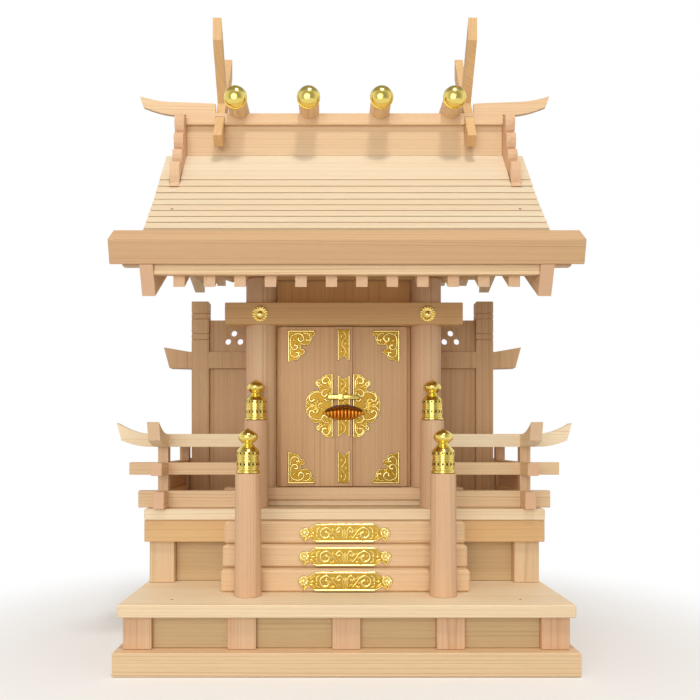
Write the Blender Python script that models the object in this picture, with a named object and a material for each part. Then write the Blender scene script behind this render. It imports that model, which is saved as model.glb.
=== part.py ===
"""A household shrine in planed cypress: two tiers, steps, railings, a hall with two doors and a flowing roof.

Metres, +Z up, the front towards -Y. Depths are counted from the front of the plinth, and moved() takes them
to the frame.
"""

import math

import bmesh
import bpy
from mathutils import Matrix, Vector

# Clearances

GAP = 0.0003
DOOR_GAP = 0.0008
PIN_CLEARANCE = 0.0001

# Plinth, lower tier and platform

PLINTH_WIDTH = 0.450
PLINTH_DEPTH = 0.285
PLINTH_HEIGHT = 0.0232
TIER_POST = 0.0275
TIER_BOARD = 0.010
LOWER_POST_SPACING = 0.1018
LOWER_FRONT = 0.0106
LOWER_RECESS = 0.0061
LOWER_HEIGHT = 0.0321
PLATFORM_WIDTH = 0.4426
PLATFORM_FRONT = 0.003
PLATFORM_HEIGHT = 0.0127

# Upper tier and floor

UPPER_WIDTH = 0.434
UPPER_FRONT = 0.113
UPPER_RECESS = 0.011
UPPER_HEIGHT = 0.0458
BEAM_FRONT = 0.1065
BEAM_HEIGHT = 0.0239
FLOOR_FRONT = 0.105
FLOOR_HEIGHT = 0.0122

# Steps, newels and finials

STEP_WIDTH = 0.260
STEP_FRONT = 0.0608
STEP_GOING = 0.0134
STEP_CHAMFER = 0.0020
NEWEL_X = 0.0998
NEWEL_FOOT_RADIUS = 0.0138
NEWEL_TOP_RADIUS = 0.0131
FRONT_NEWEL_HEIGHT = 0.1243
REAR_NEWEL_HEIGHT = 0.0981
FINIAL_RADIUS = 0.0123
FINIAL_HEIGHT = 0.046
FINIAL_PROFILE = (
    (0.00, 0.000),
    (0.94, 0.000),
    (0.94, 0.065),
    (0.89, 0.070),
    (0.89, 0.160),
    (1.00, 0.172),
    (0.91, 0.190),
    (0.99, 0.228),
    (0.89, 0.240),
    (0.89, 0.415),
    (0.98, 0.426),
    (0.91, 0.450),
    (0.99, 0.465),
    (0.88, 0.480),
    (0.78, 0.540),
    (0.50, 0.620),
    (0.41, 0.655),
    (0.56, 0.700),
    (0.77, 0.750),
    (0.82, 0.812),
    (0.72, 0.880),
    (0.45, 0.935),
    (0.18, 0.970),
    (0.00, 1.000),
)

# Railings

RAIL_X = 0.2034
RAIL_REAR = 0.243
RAIL_THICKNESS = 0.012
RAIL_POST = 0.0116
RAIL_BOTTOM_HEIGHT = 0.0190
RAIL_MIDDLE_RISE = 0.0179
RAIL_MIDDLE_HEIGHT = 0.0139
RAIL_TOP_RISE = 0.0174
RAIL_TOP_HEIGHT = 0.0145
RAIL_TOP_THICKNESS = 0.0130
RAIL_PANEL_THICKNESS = 0.004
RAIL_PANEL_TENON = 0.001
RAIL_OUT_BOTTOM = 0.028
RAIL_OUT_MIDDLE = 0.038
RAIL_OUT_TOP = 0.0530
RAIL_SWEEP = 0.0123
RAIL_SWEEP_START = 0.014
RAIL_UNDERCUT = 0.0055
RAIL_ROUNDING = 0.0040

# Hall

COLUMN_X = 0.0967
COLUMN_RADIUS = 0.018
COLUMN_FRONT = 0.160
COLUMN_REAR = 0.244
COLUMN_TOP = 0.4152
BAND_FRONT = 0.1445
BAND_HEIGHT = 0.007
SILL_FRONT = 0.139
SILL_BACK = 0.161
SILL_HALF = 0.1375
SILL_HEIGHT = 0.0139
LINTEL_HALF = 0.137
LINTEL_BOTTOM = 0.3608
LINTEL_HEIGHT = 0.0252
WALL_THICKNESS = 0.010
FRAME_THICKNESS = 0.008
FRAME_STOP = 0.012

# Doors and lock

DOOR_FRONT = 0.1533
DOOR_THICKNESS = 0.0074
DOOR_HALF = 0.0737
DOOR_SEAM = 0.0005
PIVOT_IN = 0.0040
PIN_RADIUS = 0.0020
PIN_LENGTH = 0.0035
STRIP_HALF = 0.0101
STRIP_PROUD = 0.0030
STRIP_ROOT = 0.001
LOCK_BAR_HALF = 0.0190
LOCK_BAR_Z = 0.2778
LOCK_BAR_HEIGHT = 0.0062
LOCK_BODY_HALF = 0.0250
LOCK_BODY_Z = 0.2600
LOCK_BODY_HEIGHT = 0.0190
LOCK_DEPTH = 0.011
LOCK_BAR_DEPTH = 0.006
LOCK_STEM_HALF = 0.0035
LOCK_STEM_DEPTH = 0.005

# Wings beside the hall

WING_POST_IN = 0.1718
WING_POST_WIDTH = 0.0219
WING_POST_THICKNESS = 0.017
WING_POST_TOP = 0.406
WING_PANEL_TOP = 0.3824
WING_PANEL_THICKNESS = 0.006
WING_BAR_BOTTOM = 0.3198
WING_BAR_HEIGHT = 0.0215
WING_BAR_TIP = 0.2296
WING_BAR_SWEEP = 0.0057
WING_BAR_BEVEL = 0.0072
WING_BAR_START = 0.003
WING_SKIRT_TOP = 0.2045
WING_GROOVES = (0.357, 0.3645, 0.3834, 0.3904)
WING_GROOVE = 0.0008
WING_GROOVE_DEPTH = 0.0010
WING_HOLE_RADIUS = 0.0039
WING_HOLE_X = 0.1400
WING_HOLE_Z = 0.3550
WING_HOLE_SPREAD = 0.0079
WING_HOLE_RISE = 0.0107

# Roof, its widths counted in from the roof boards' ends

ROOF_HALF = 0.196
ROOF_BOARD = 0.016
ROOF_LIP = 0.0058
FRONT_SLOPE = ((0.0042, 0.4306), (0.0476, 0.4755), (0.0713, 0.5037), (0.1042, 0.5409))
REAR_SLOPE = ((0.1410, 0.5406), (0.170, 0.5195), (0.205, 0.4975), (0.245, 0.4775), (0.276, 0.466))
COURSES = 9
COURSE_FIRST = 0.0062
COURSE_GOING = 0.0081
COURSE_LIP = 0.0006
COURSE_GROOVE = 0.0012
RAFTER_COUNT = 12
RAFTER_INSET = 0.0226
RAFTER_WIDTH = 0.0109
RAFTER_HEIGHT = 0.0104
RAFTER_BOTTOM = 0.3739
FRONT_RAFTER_SLOPE = 0.6128
REAR_RAFTER_SLOPE = 0.3057
REAR_RAFTER_BOTTOM = 0.4338
SOFFIT_HEIGHT = 0.006
EAVE_REAR = 0.2726
GABLE_INSET = 0.0128
GABLE_THICKNESS = 0.0126
GABLE_DROP = 0.0088
GABLE_LEAN = 0.0112
PURLIN_INSET = 0.0082
PURLIN_THICKNESS = 0.016
PURLIN_BOAT = 0.003
PURLIN_BOAT_START = 0.018
PURLIN_BOAT_RUN = 0.014
FASCIA_OVERHANG = 0.0285
FASCIA_FRONT = 0.0154
FASCIA_LOW = 0.3932
FASCIA_HEIGHT = 0.0224
FASCIA_LEAN = 0.0060
FASCIA_DEPTH = 0.0186
FASCIA_TOP_SLOPE = 0.74
EAVE_LOW = 0.3844
EAVE_LAYER = 0.0042
EAVE_LAYER_STEP = 0.0006
EAVE_THICKNESS = 0.0060
LATH_INSET = 0.0111
LATH_FRONT = 0.0050
LATH_BACK = 0.0038
LATH_LOW = 0.3930
LATH_HEIGHT = 0.0026

# Ridge

RIDGE_BOTTOM = 0.5409
RIDGE_DEPTH = 0.1226
RIDGE_INSET = 0.0225
RIDGE_THICKNESS = 0.0368
RIDGE_BOX_HEIGHT = 0.0325
RIDGE_BOARD_HEIGHT = 0.0121
RIDGE_BOARD_THICKNESS = 0.0452
RIDGE_END_THICKNESS = 0.0046
RIDGE_END_REACH = 0.0510
RIDGE_END_HEIGHT = 0.0108
RIDGE_END_SWEEP = 0.0080
RIDGE_END_DROP = 0.0019
RIDGE_END_LIFT = 0.0089
RIDGE_END_BEVEL = 0.0040
RIDGE_END_ROOT = 0.0014
SCROLL_THICKNESS = 0.0103
SCROLL_TIP = 0.0615
SCROLL_BULGE = 0.007
SCROLL_HEIGHTS = (0.0045, 0.0258, 0.0460, 0.0645, 0.0925)
SCROLL_NOSES = (0.0346, 0.0386, 0.0446, 0.0586)
SCROLL_LOBE = ((0.05, 0.0), (0.55, 0.04), (0.85, 0.15), (1.0, 0.38), (0.92, 0.62), (0.70, 0.82), (0.35, 0.98))
SCROLL_FOOT = 0.004
CROSS_INSET = 0.0369
CROSS_WIDTH = 0.0094
CROSS_BLADE = 0.0133
CROSS_HEIGHT = 0.6036
CROSS_SLOPE = 1.492
CROSS_TOP = 0.0425
CROSS_BOTTOM = 0.0360
LOG_INSET = 0.0203
LOG_RADIUS = 0.0110
LOG_HALF = 0.0480
LOG_Z = 0.5907
CAP_LIP_RADIUS = 0.0124
CAP_LIP = 0.0016
CAP_RADIUS = 0.0118
CAP_HEIGHT = 0.0105

# Heights that follow from those above

plinth_top = PLINTH_HEIGHT
lower_top = plinth_top + GAP + LOWER_HEIGHT
platform_top = lower_top + GAP + PLATFORM_HEIGHT
upper_top = platform_top + GAP + UPPER_HEIGHT
beam_top = upper_top + GAP + BEAM_HEIGHT
floor_top = beam_top + GAP + FLOOR_HEIGHT
band_top = floor_top + GAP + BAND_HEIGHT
sill_top = band_top + GAP + SILL_HEIGHT
lintel_top = LINTEL_BOTTOM + LINTEL_HEIGHT
tier_back = PLINTH_DEPTH - LOWER_FRONT
board_back = PLINTH_DEPTH - PLATFORM_FRONT
origin_depth = (PLINTH_DEPTH - FASCIA_FRONT) / 2
newel_depth = SILL_FRONT - GAP - NEWEL_FOOT_RADIUS
gable_x = ROOF_HALF - GABLE_INSET
fascia_half = ROOF_HALF + FASCIA_OVERHANG
ridge_half = ROOF_HALF - RIDGE_INSET
cross_x = ridge_half - CROSS_INSET


for old in list(bpy.data.objects):
    bpy.data.objects.remove(old, do_unlink=True)


def wood(name, colour, roughness=0.55, metallic=0.0):
    material = bpy.data.materials.new(name)
    material.use_nodes = True
    shader = material.node_tree.nodes["Principled BSDF"]
    shader.inputs["Base Color"].default_value = (*colour, 1)
    shader.inputs["Roughness"].default_value = roughness
    shader.inputs["Metallic"].default_value = metallic
    return material


PALE = (0.79, 0.63, 0.36)
ROSY = (0.69, 0.48, 0.27)
DARK = (0.55, 0.34, 0.17)
GOLD = (0.72, 0.46, 0.10)


def node(name, bm, colour, chamfer=0.0, steps=1, metallic=0.0):
    """One named object from a bmesh, with its own material and a small chamfer on its sharp edges."""
    bmesh.ops.recalc_face_normals(bm, faces=bm.faces[:])
    mesh = bpy.data.meshes.new(name)
    bm.to_mesh(mesh)
    bm.free()
    item = bpy.data.objects.new(name, mesh)
    bpy.context.scene.collection.objects.link(item)
    mesh.materials.append(wood(name, colour, 0.25 if metallic else 0.55, metallic))
    if chamfer:
        bevel = item.modifiers.new("chamfer", "BEVEL")
        bevel.width = chamfer
        bevel.segments = steps
        bevel.limit_method = "ANGLE"
        bevel.angle_limit = math.radians(50)
        bevel.harden_normals = False
    return item


def helper(item):
    """Hides a cutter or a piece that is joined to another."""
    item.hide_render = True
    item.display_type = "WIRE"
    return item


def combine(item, other, operation):
    step = item.modifiers.new(operation.lower(), "BOOLEAN")
    step.operation = operation
    step.solver = "EXACT"
    step.object = helper(other)
    return item


def join(item, *others):
    for other in others:
        combine(item, other, "UNION")
    return item


def cut(item, *others):
    for other in others:
        combine(item, other, "DIFFERENCE")
    return item


def moved(x, depth, z):
    return Vector((x, depth - origin_depth, z))


def extruded(points, run):
    """A flat outline of 3-D points drawn out along a vector."""
    bm = bmesh.new()
    face = bm.faces.new([bm.verts.new(point) for point in points])
    made = bmesh.ops.extrude_face_region(bm, geom=[face])
    ends = [item for item in made["geom"] if isinstance(item, bmesh.types.BMVert)]
    bmesh.ops.translate(bm, verts=ends, vec=run)
    return bm


def board(x, depth, z):
    """A square-cut board between two values on each axis."""
    corners = [(x[0], depth[0]), (x[1], depth[0]), (x[1], depth[1]), (x[0], depth[1])]
    return extruded([moved(px, pd, z[0]) for px, pd in corners], Vector((0, 0, z[1] - z[0])))


def plan(outline, z):
    """A plan outline of (x, depth) drawn up between two heights."""
    return extruded([moved(px, pd, z[0]) for px, pd in outline], Vector((0, 0, z[1] - z[0])))


def side(outline, x):
    """A side outline of (depth, z) drawn across between two widths."""
    return extruded([moved(x[0], pd, pz) for pd, pz in outline], Vector((x[1] - x[0], 0, 0)))


def front(outline, depth):
    """A front outline of (x, z) drawn back between two depths."""
    return extruded([moved(px, depth[0], pz) for px, pz in outline], Vector((0, depth[1] - depth[0], 0)))


def turned(profile, centre, sides):
    """A profile of (radius, height) spun a full turn, bottom to top, with its ends on the axis."""
    bm = bmesh.new()
    points = [bm.verts.new(moved(centre[0] + radius, centre[1], z)) for radius, z in profile]
    edges = [bm.edges.new(pair) for pair in zip(points, points[1:])]
    bmesh.ops.spin(
        bm,
        geom=points + edges,
        cent=moved(centre[0], centre[1], 0),
        axis=(0, 0, 1),
        angle=2 * math.pi,
        steps=sides,
        use_merge=True,
        use_duplicate=False,
    )
    bmesh.ops.remove_doubles(bm, verts=bm.verts[:], dist=0.000005)
    return bm


def rod(start, end, radius, sides):
    """A round rod between two points."""
    along = end - start
    across = along.orthogonal().normalized()
    other = along.normalized().cross(across)
    ring = []
    for index in range(sides):
        turn = 2 * math.pi * index / sides
        ring.append(start + radius * (math.cos(turn) * across + math.sin(turn) * other))
    return extruded(ring, along)


def smooth(item, angle=35):
    for face in item.data.polygons:
        face.use_smooth = True
    item.data.set_sharp_from_angle(angle=math.radians(angle))
    return item


# Tiers: a ring of boards with square posts standing proud of them


def posted_side(start, along, inward, length, post, recess, middles):
    """The points of one side, from its first corner to just before its last."""
    marks = [(0, post)]
    marks += [(middle - post / 2, middle + post / 2) for middle in middles]
    marks.append((length - post, length))
    points = []
    for index, (low, high) in enumerate(marks):
        if index:
            points.append(start + along * low + inward * recess)
        points.append(start + along * low)
        if index < len(marks) - 1:
            points.append(start + along * high)
            points.append(start + along * high + inward * recess)
    return points


def posted_ring(name, width, depth, z, post, recess, board_thickness, middles, colour):
    half = width / 2
    near, far = depth
    corners = [Vector(corner) for corner in ((-half, near), (half, near), (half, far), (-half, far))]
    outline = []
    for index, start in enumerate(corners):
        end = corners[(index + 1) % 4]
        along = (end - start).normalized()
        inward = Vector((-along.y, along.x))
        places = middles if index % 2 == 0 else [(end - start).length / 2]
        outline += posted_side(start, along, inward, (end - start).length, post, recess, places)
    ring = node(name, plan([tuple(point) for point in outline], z), colour, 0.0004)
    inside = recess + board_thickness
    hollow = board(
        (-half + inside, half - inside),
        (depth[0] + inside, depth[1] - inside),
        (z[0] - board_thickness, z[1] + board_thickness),
    )
    return cut(ring, node(name + "_hollow", hollow, colour))


platform_half = PLATFORM_WIDTH / 2
plinth = board((-PLINTH_WIDTH / 2, PLINTH_WIDTH / 2), (0, PLINTH_DEPTH), (0, plinth_top))
node("plinth", plinth, PALE, 0.0006)
lower_width = 4 * LOWER_POST_SPACING + TIER_POST
lower_middles = [lower_width / 2 + step * LOWER_POST_SPACING for step in (-1, 0, 1)]
posted_ring(
    "lower_wall",
    lower_width,
    (LOWER_FRONT, tier_back),
    (plinth_top + GAP, lower_top),
    TIER_POST,
    LOWER_RECESS,
    TIER_BOARD,
    lower_middles,
    ROSY,
)
node(
    "platform",
    board((-platform_half, platform_half), (PLATFORM_FRONT, board_back), (lower_top + GAP, platform_top)),
    PALE,
    0.0010,
)
posted_ring(
    "upper_wall",
    UPPER_WIDTH,
    (UPPER_FRONT, tier_back),
    (platform_top + GAP, upper_top),
    TIER_POST,
    UPPER_RECESS,
    TIER_BOARD,
    [],
    ROSY,
)
beam_inside = UPPER_FRONT - BEAM_FRONT + UPPER_RECESS + TIER_BOARD
beam = node(
    "floor_beam",
    board((-platform_half, platform_half), (BEAM_FRONT, board_back), (upper_top + GAP, beam_top)),
    ROSY,
    0.0005,
)
beam_hollow = board(
    (beam_inside - platform_half, platform_half - beam_inside),
    (BEAM_FRONT + beam_inside, board_back - beam_inside),
    (upper_top - TIER_BOARD, beam_top + TIER_BOARD),
)
cut(beam, node("floor_beam_hollow", beam_hollow, ROSY))
node(
    "floor",
    board((-platform_half, platform_half), (FLOOR_FRONT, board_back), (beam_top + GAP, floor_top)),
    PALE,
    0.0008,
)

# Steps: three boards stacked against the upper tier

step_rise = (beam_top - platform_top) / 3
for index in range(3):
    low = platform_top + index * step_rise + GAP
    under_beam = low + step_rise < upper_top
    back = UPPER_FRONT + UPPER_RECESS - GAP if under_beam else BEAM_FRONT - GAP
    depths = (STEP_FRONT + index * STEP_GOING, back)
    tread = board((-STEP_WIDTH / 2, STEP_WIDTH / 2), depths, (low, low + step_rise - GAP))
    node(f"step_{index + 1}", tread, ROSY, STEP_CHAMFER)

# Newels and their onion-shaped metal finials

for place, depth, low, height in (
    ("front", STEP_FRONT - GAP - NEWEL_FOOT_RADIUS, platform_top + GAP, FRONT_NEWEL_HEIGHT),
    ("rear", newel_depth, floor_top + GAP, REAR_NEWEL_HEIGHT),
):
    for hand, x in (("left", -NEWEL_X), ("right", NEWEL_X)):
        high = low + height
        shaft = (
            (0, low),
            (NEWEL_FOOT_RADIUS, low),
            (NEWEL_TOP_RADIUS, high - 0.0008),
            (NEWEL_TOP_RADIUS - 0.0008, high),
            (0, high),
        )
        smooth(node(f"newel_{place}_{hand}", turned(shaft, (x, depth), 32), ROSY))
        metal = [(radius * FINIAL_RADIUS, high + GAP + z * FINIAL_HEIGHT) for radius, z in FINIAL_PROFILE]
        smooth(node(f"finial_{place}_{hand}", turned(metal, (x, depth), 20), GOLD, metallic=1.0), 40)

# Railings: one corner post and one rear post, with three rails that cross and sweep out

rail_inner = NEWEL_X + NEWEL_FOOT_RADIUS + GAP
bottom_low = floor_top + GAP
bottom_high = bottom_low + RAIL_BOTTOM_HEIGHT
middle_low = bottom_high + RAIL_MIDDLE_RISE
middle_high = middle_low + RAIL_MIDDLE_HEIGHT
top_low = middle_high + RAIL_TOP_RISE
top_high = top_low + RAIL_TOP_HEIGHT
rail_tail = RAIL_REAR + RAIL_POST / 2 + RAIL_THICKNESS / 2


def swept(inner, outer, low, high):
    """The side view of a rail whose outer end sweeps up, as (distance, z) from its inner end."""
    sweep_start = outer - RAIL_OUT_TOP + RAIL_SWEEP_START
    steps = 6
    lower, upper = [(inner, low)], [(inner, high)]
    for index in range(steps + 1):
        part = index / steps
        lower_x = sweep_start + part * (outer - RAIL_UNDERCUT - sweep_start)
        lower.append((lower_x, low + 0.58 * RAIL_SWEEP * part**2))
        upper.append((sweep_start + part * (outer - sweep_start), high + RAIL_SWEEP * part**2))
    return lower + upper[::-1]


for hand, sign in (("left", -1), ("right", 1)):
    name = f"railing_{hand}"

    def across(low, high, inner, outer, tag, thickness=RAIL_THICKNESS):
        ends = sorted((sign * inner, sign * outer))
        depths = (newel_depth - thickness / 2, newel_depth + thickness / 2)
        return node(f"{name}_{tag}", board(ends, depths, (low, high)), ROSY, 0.0006)

    def along(low, high, front_end, tag):
        ends = sorted((sign * (RAIL_X - RAIL_THICKNESS / 2), sign * (RAIL_X + RAIL_THICKNESS / 2)))
        return node(f"{name}_{tag}", board(ends, (front_end, rail_tail), (low, high)), ROSY, 0.0006)

    def post(depth, tag):
        ends = sorted((sign * (RAIL_X - RAIL_POST / 2), sign * (RAIL_X + RAIL_POST / 2)))
        depths = (depth - RAIL_POST / 2, depth + RAIL_POST / 2)
        return node(tag, board(ends, depths, (bottom_low, top_low + RAIL_TOP_HEIGHT / 2)), ROSY)

    top_across = front(
        [(sign * x, z) for x, z in swept(rail_inner, RAIL_X + RAIL_OUT_TOP, top_low, top_high)],
        (newel_depth - RAIL_TOP_THICKNESS / 2, newel_depth + RAIL_TOP_THICKNESS / 2),
    )
    side_run = rail_tail - newel_depth + RAIL_OUT_TOP
    top_along = side(
        [(rail_tail - run, z) for run, z in swept(0, side_run, top_low, top_high)],
        sorted((sign * (RAIL_X - RAIL_TOP_THICKNESS / 2), sign * (RAIL_X + RAIL_TOP_THICKNESS / 2))),
    )
    panel = board(
        sorted((sign * RAIL_X - RAIL_PANEL_THICKNESS / 2, sign * RAIL_X + RAIL_PANEL_THICKNESS / 2)),
        (newel_depth, RAIL_REAR),
        (bottom_high - RAIL_PANEL_TENON, middle_low + RAIL_PANEL_TENON),
    )
    join(
        post(newel_depth, name),
        post(RAIL_REAR, name + "_rear_post"),
        across(bottom_low, bottom_high, rail_inner, RAIL_X + RAIL_OUT_BOTTOM, "bottom_across"),
        along(bottom_low, bottom_high, newel_depth - RAIL_OUT_BOTTOM, "bottom_along"),
        across(middle_low, middle_high, rail_inner, RAIL_X + RAIL_OUT_MIDDLE, "middle_across"),
        along(middle_low, middle_high, newel_depth - RAIL_OUT_MIDDLE, "middle_along"),
        node(name + "_top_across", top_across, ROSY, RAIL_ROUNDING, 2),
        node(name + "_top_along", top_along, ROSY, RAIL_ROUNDING, 2),
        node(name + "_panel", panel, ROSY),
    )

# Hall: four round columns on a floor board, with a sill and a lintel clasping the front pair

wall_low = band_top + GAP
inner_half = COLUMN_X - COLUMN_RADIUS - GAP
band_half = COLUMN_X + COLUMN_RADIUS - GAP
node(
    "hall_floor",
    board(
        (-band_half, band_half),
        (BAND_FRONT, COLUMN_REAR + COLUMN_RADIUS),
        (floor_top + GAP, band_top),
    ),
    PALE,
    0.0005,
)
for place, depth in (("front", COLUMN_FRONT), ("rear", COLUMN_REAR)):
    for hand, x in (("left", -COLUMN_X), ("right", COLUMN_X)):
        shaft = ((0, wall_low), (COLUMN_RADIUS, wall_low), (COLUMN_RADIUS, COLUMN_TOP), (0, COLUMN_TOP))
        smooth(node(f"column_{place}_{hand}", turned(shaft, (x, depth), 40), ROSY))

pivot_x = DOOR_HALF - PIVOT_IN
pivot_depth = DOOR_FRONT + DOOR_THICKNESS - PIVOT_IN
for name, half, low, high, hole_low in (
    ("sill", SILL_HALF, wall_low, sill_top, sill_top - PIN_LENGTH),
    ("lintel", LINTEL_HALF, LINTEL_BOTTOM, lintel_top, LINTEL_BOTTOM - PIN_LENGTH),
):
    member = node(name, board((-half, half), (SILL_FRONT, SILL_BACK), (low, high)), ROSY, 0.0006)
    for tag, sign in (("left", -1), ("right", 1)):
        column = rod(
            moved(sign * COLUMN_X, COLUMN_FRONT, low - COLUMN_RADIUS),
            moved(sign * COLUMN_X, COLUMN_FRONT, high + COLUMN_RADIUS),
            COLUMN_RADIUS + GAP,
            40,
        )
        socket = rod(
            moved(sign * pivot_x, pivot_depth, hole_low),
            moved(sign * pivot_x, pivot_depth, hole_low + 2 * PIN_LENGTH),
            PIN_RADIUS + PIN_CLEARANCE,
            20,
        )
        cut(member, node(f"{name}_clasp_{tag}", column, ROSY), node(f"{name}_socket_{tag}", socket, ROSY))

wall_inner = COLUMN_X - WALL_THICKNESS / 2 - GAP
wall_front = COLUMN_FRONT + COLUMN_RADIUS + GAP
wall_back = COLUMN_REAR - COLUMN_RADIUS - GAP
half_floor = [
    (inner_half, SILL_BACK + GAP),
    (inner_half, wall_front),
    (wall_inner, wall_front),
    (wall_inner, wall_back),
]
inner_floor = half_floor + [(-x, depth) for x, depth in half_floor[::-1]]
node("inner_floor", plan(inner_floor, (wall_low, sill_top - GAP)), PALE)

# Walls and the door frame, a board with the doorway cut through it

frame_front = SILL_BACK + GAP
frame_low = sill_top + GAP
doorway_half = DOOR_HALF - FRAME_STOP
doorway_top = LINTEL_BOTTOM - FRAME_STOP
node(
    "door_frame",
    front(
        [
            (-inner_half, frame_low),
            (-doorway_half, frame_low),
            (-doorway_half, doorway_top),
            (doorway_half, doorway_top),
            (doorway_half, frame_low),
            (inner_half, frame_low),
            (inner_half, COLUMN_TOP),
            (-inner_half, COLUMN_TOP),
        ],
        (frame_front, frame_front + FRAME_THICKNESS),
    ),
    DARK,
)


def front_rafter(depth):
    return RAFTER_BOTTOM + FRONT_RAFTER_SLOPE * depth


def rear_rafter(depth):
    return REAR_RAFTER_BOTTOM + REAR_RAFTER_SLOPE * (EAVE_REAR - depth)


apex = (rear_rafter(0) - front_rafter(0)) / (FRONT_RAFTER_SLOPE + REAR_RAFTER_SLOPE)
for hand, sign in (("left", -1), ("right", 1)):
    gable = [
        (wall_front, wall_low),
        (wall_back, wall_low),
        (wall_back, rear_rafter(wall_back) - GAP),
        (wall_front, rear_rafter(wall_front) - GAP),
    ]
    sides = sorted((sign * (COLUMN_X - WALL_THICKNESS / 2), sign * (COLUMN_X + WALL_THICKNESS / 2)))
    node(f"wall_{hand}", side(gable, sides), ROSY)
node(
    "wall_back",
    board(
        (-inner_half, inner_half),
        (COLUMN_REAR - WALL_THICKNESS / 2, COLUMN_REAR + WALL_THICKNESS / 2),
        (wall_low, COLUMN_TOP),
    ),
    ROSY,
)

# Doors on round pins in the sill and the lintel, the right leaf carrying the cover strip and the lock

door_low = sill_top + DOOR_GAP
door_high = LINTEL_BOTTOM - DOOR_GAP
door_back = DOOR_FRONT + DOOR_THICKNESS
for hand, sign in (("left", -1), ("right", 1)):
    outline = [(DOOR_SEAM, DOOR_FRONT), (DOOR_HALF, DOOR_FRONT), (DOOR_HALF, pivot_depth)]
    for index in range(1, 7):
        turn = math.radians(15 * index)
        outline.append((pivot_x + PIVOT_IN * math.cos(turn), pivot_depth + PIVOT_IN * math.sin(turn)))
    outline.append((DOOR_SEAM, door_back))
    outline = [(sign * x, depth) for x, depth in outline]
    leaf = node(f"door_{hand}", plan(outline, (door_low, door_high)), DARK)
    pin = rod(
        moved(sign * pivot_x, pivot_depth, sill_top - PIN_LENGTH + DOOR_GAP),
        moved(sign * pivot_x, pivot_depth, LINTEL_BOTTOM + PIN_LENGTH - DOOR_GAP),
        PIN_RADIUS,
        20,
    )
    join(leaf, node(f"door_{hand}_pin", pin, DARK))
    if sign > 0:
        strip_back = DOOR_FRONT - GAP
        tall = (door_low, door_high)
        rib = board((-STRIP_HALF, STRIP_HALF), (strip_back - STRIP_PROUD, strip_back), tall)
        root = board((DOOR_SEAM, STRIP_HALF - GAP), (strip_back - STRIP_ROOT, DOOR_FRONT + STRIP_ROOT), tall)
        join(leaf, node("door_strip", rib, DARK, 0.0004), node("door_strip_root", root, DARK))

# Lock: a bar across the strip with a crescent body hanging under it

lock_back = DOOR_FRONT - 2 * GAP - STRIP_PROUD
bar = board(
    (-LOCK_BAR_HALF, LOCK_BAR_HALF),
    (lock_back - LOCK_BAR_DEPTH, lock_back),
    (LOCK_BAR_Z - LOCK_BAR_HEIGHT / 2, LOCK_BAR_Z + LOCK_BAR_HEIGHT / 2),
)
belly, brow = [], []
for index in range(9):
    part = index / 4 - 1
    x = part * LOCK_BODY_HALF
    belly.append((x, LOCK_BODY_Z + LOCK_BODY_HEIGHT * (0.4 * part**2 - 0.5)))
    brow.append((x, LOCK_BODY_Z + LOCK_BODY_HEIGHT * (0.3 * part**2 + 0.2)))
stem = board(
    (-LOCK_STEM_HALF, LOCK_STEM_HALF), (lock_back - LOCK_STEM_DEPTH, lock_back), (LOCK_BODY_Z, LOCK_BAR_Z)
)
join(
    node("lock", bar, GOLD, 0.0005, metallic=1.0),
    node("lock_body", front(belly + brow[::-1], (lock_back - LOCK_DEPTH, lock_back)), GOLD, 0.0012),
    node("lock_stem", stem, GOLD),
)

# Wings: a grooved post, a swept bar and a pierced panel on each side

wing_inner = COLUMN_X + COLUMN_RADIUS + GAP
wing_low = floor_top + GAP
wing_depth = COLUMN_REAR
wing_post_out = WING_POST_IN + WING_POST_WIDTH
skirt_end = RAIL_X - RAIL_THICKNESS / 2 - GAP


def grooved_post(centre):
    """A square post with small grooves round it and a chamfered top."""
    levels = [(wing_low, 0)]
    for groove in WING_GROOVES:
        levels += [(groove - WING_GROOVE, 0), (groove, WING_GROOVE_DEPTH), (groove + WING_GROOVE, 0)]
    levels += [(WING_POST_TOP - WING_GROOVE, 0), (WING_POST_TOP, WING_GROOVE)]
    bm = bmesh.new()
    rings = []
    for z, inset in levels:
        half_x = WING_POST_WIDTH / 2 - inset
        half_d = WING_POST_THICKNESS / 2 - inset
        corners = [(-half_x, -half_d), (half_x, -half_d), (half_x, half_d), (-half_x, half_d)]
        rings.append([bm.verts.new(moved(centre + px, wing_depth + pd, z)) for px, pd in corners])
    for lower, upper in zip(rings, rings[1:]):
        for index in range(4):
            after = (index + 1) % 4
            bm.faces.new((lower[index], lower[after], upper[after], upper[index]))
    bm.faces.new(rings[0][::-1])
    bm.faces.new(rings[-1])
    return bm


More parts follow.
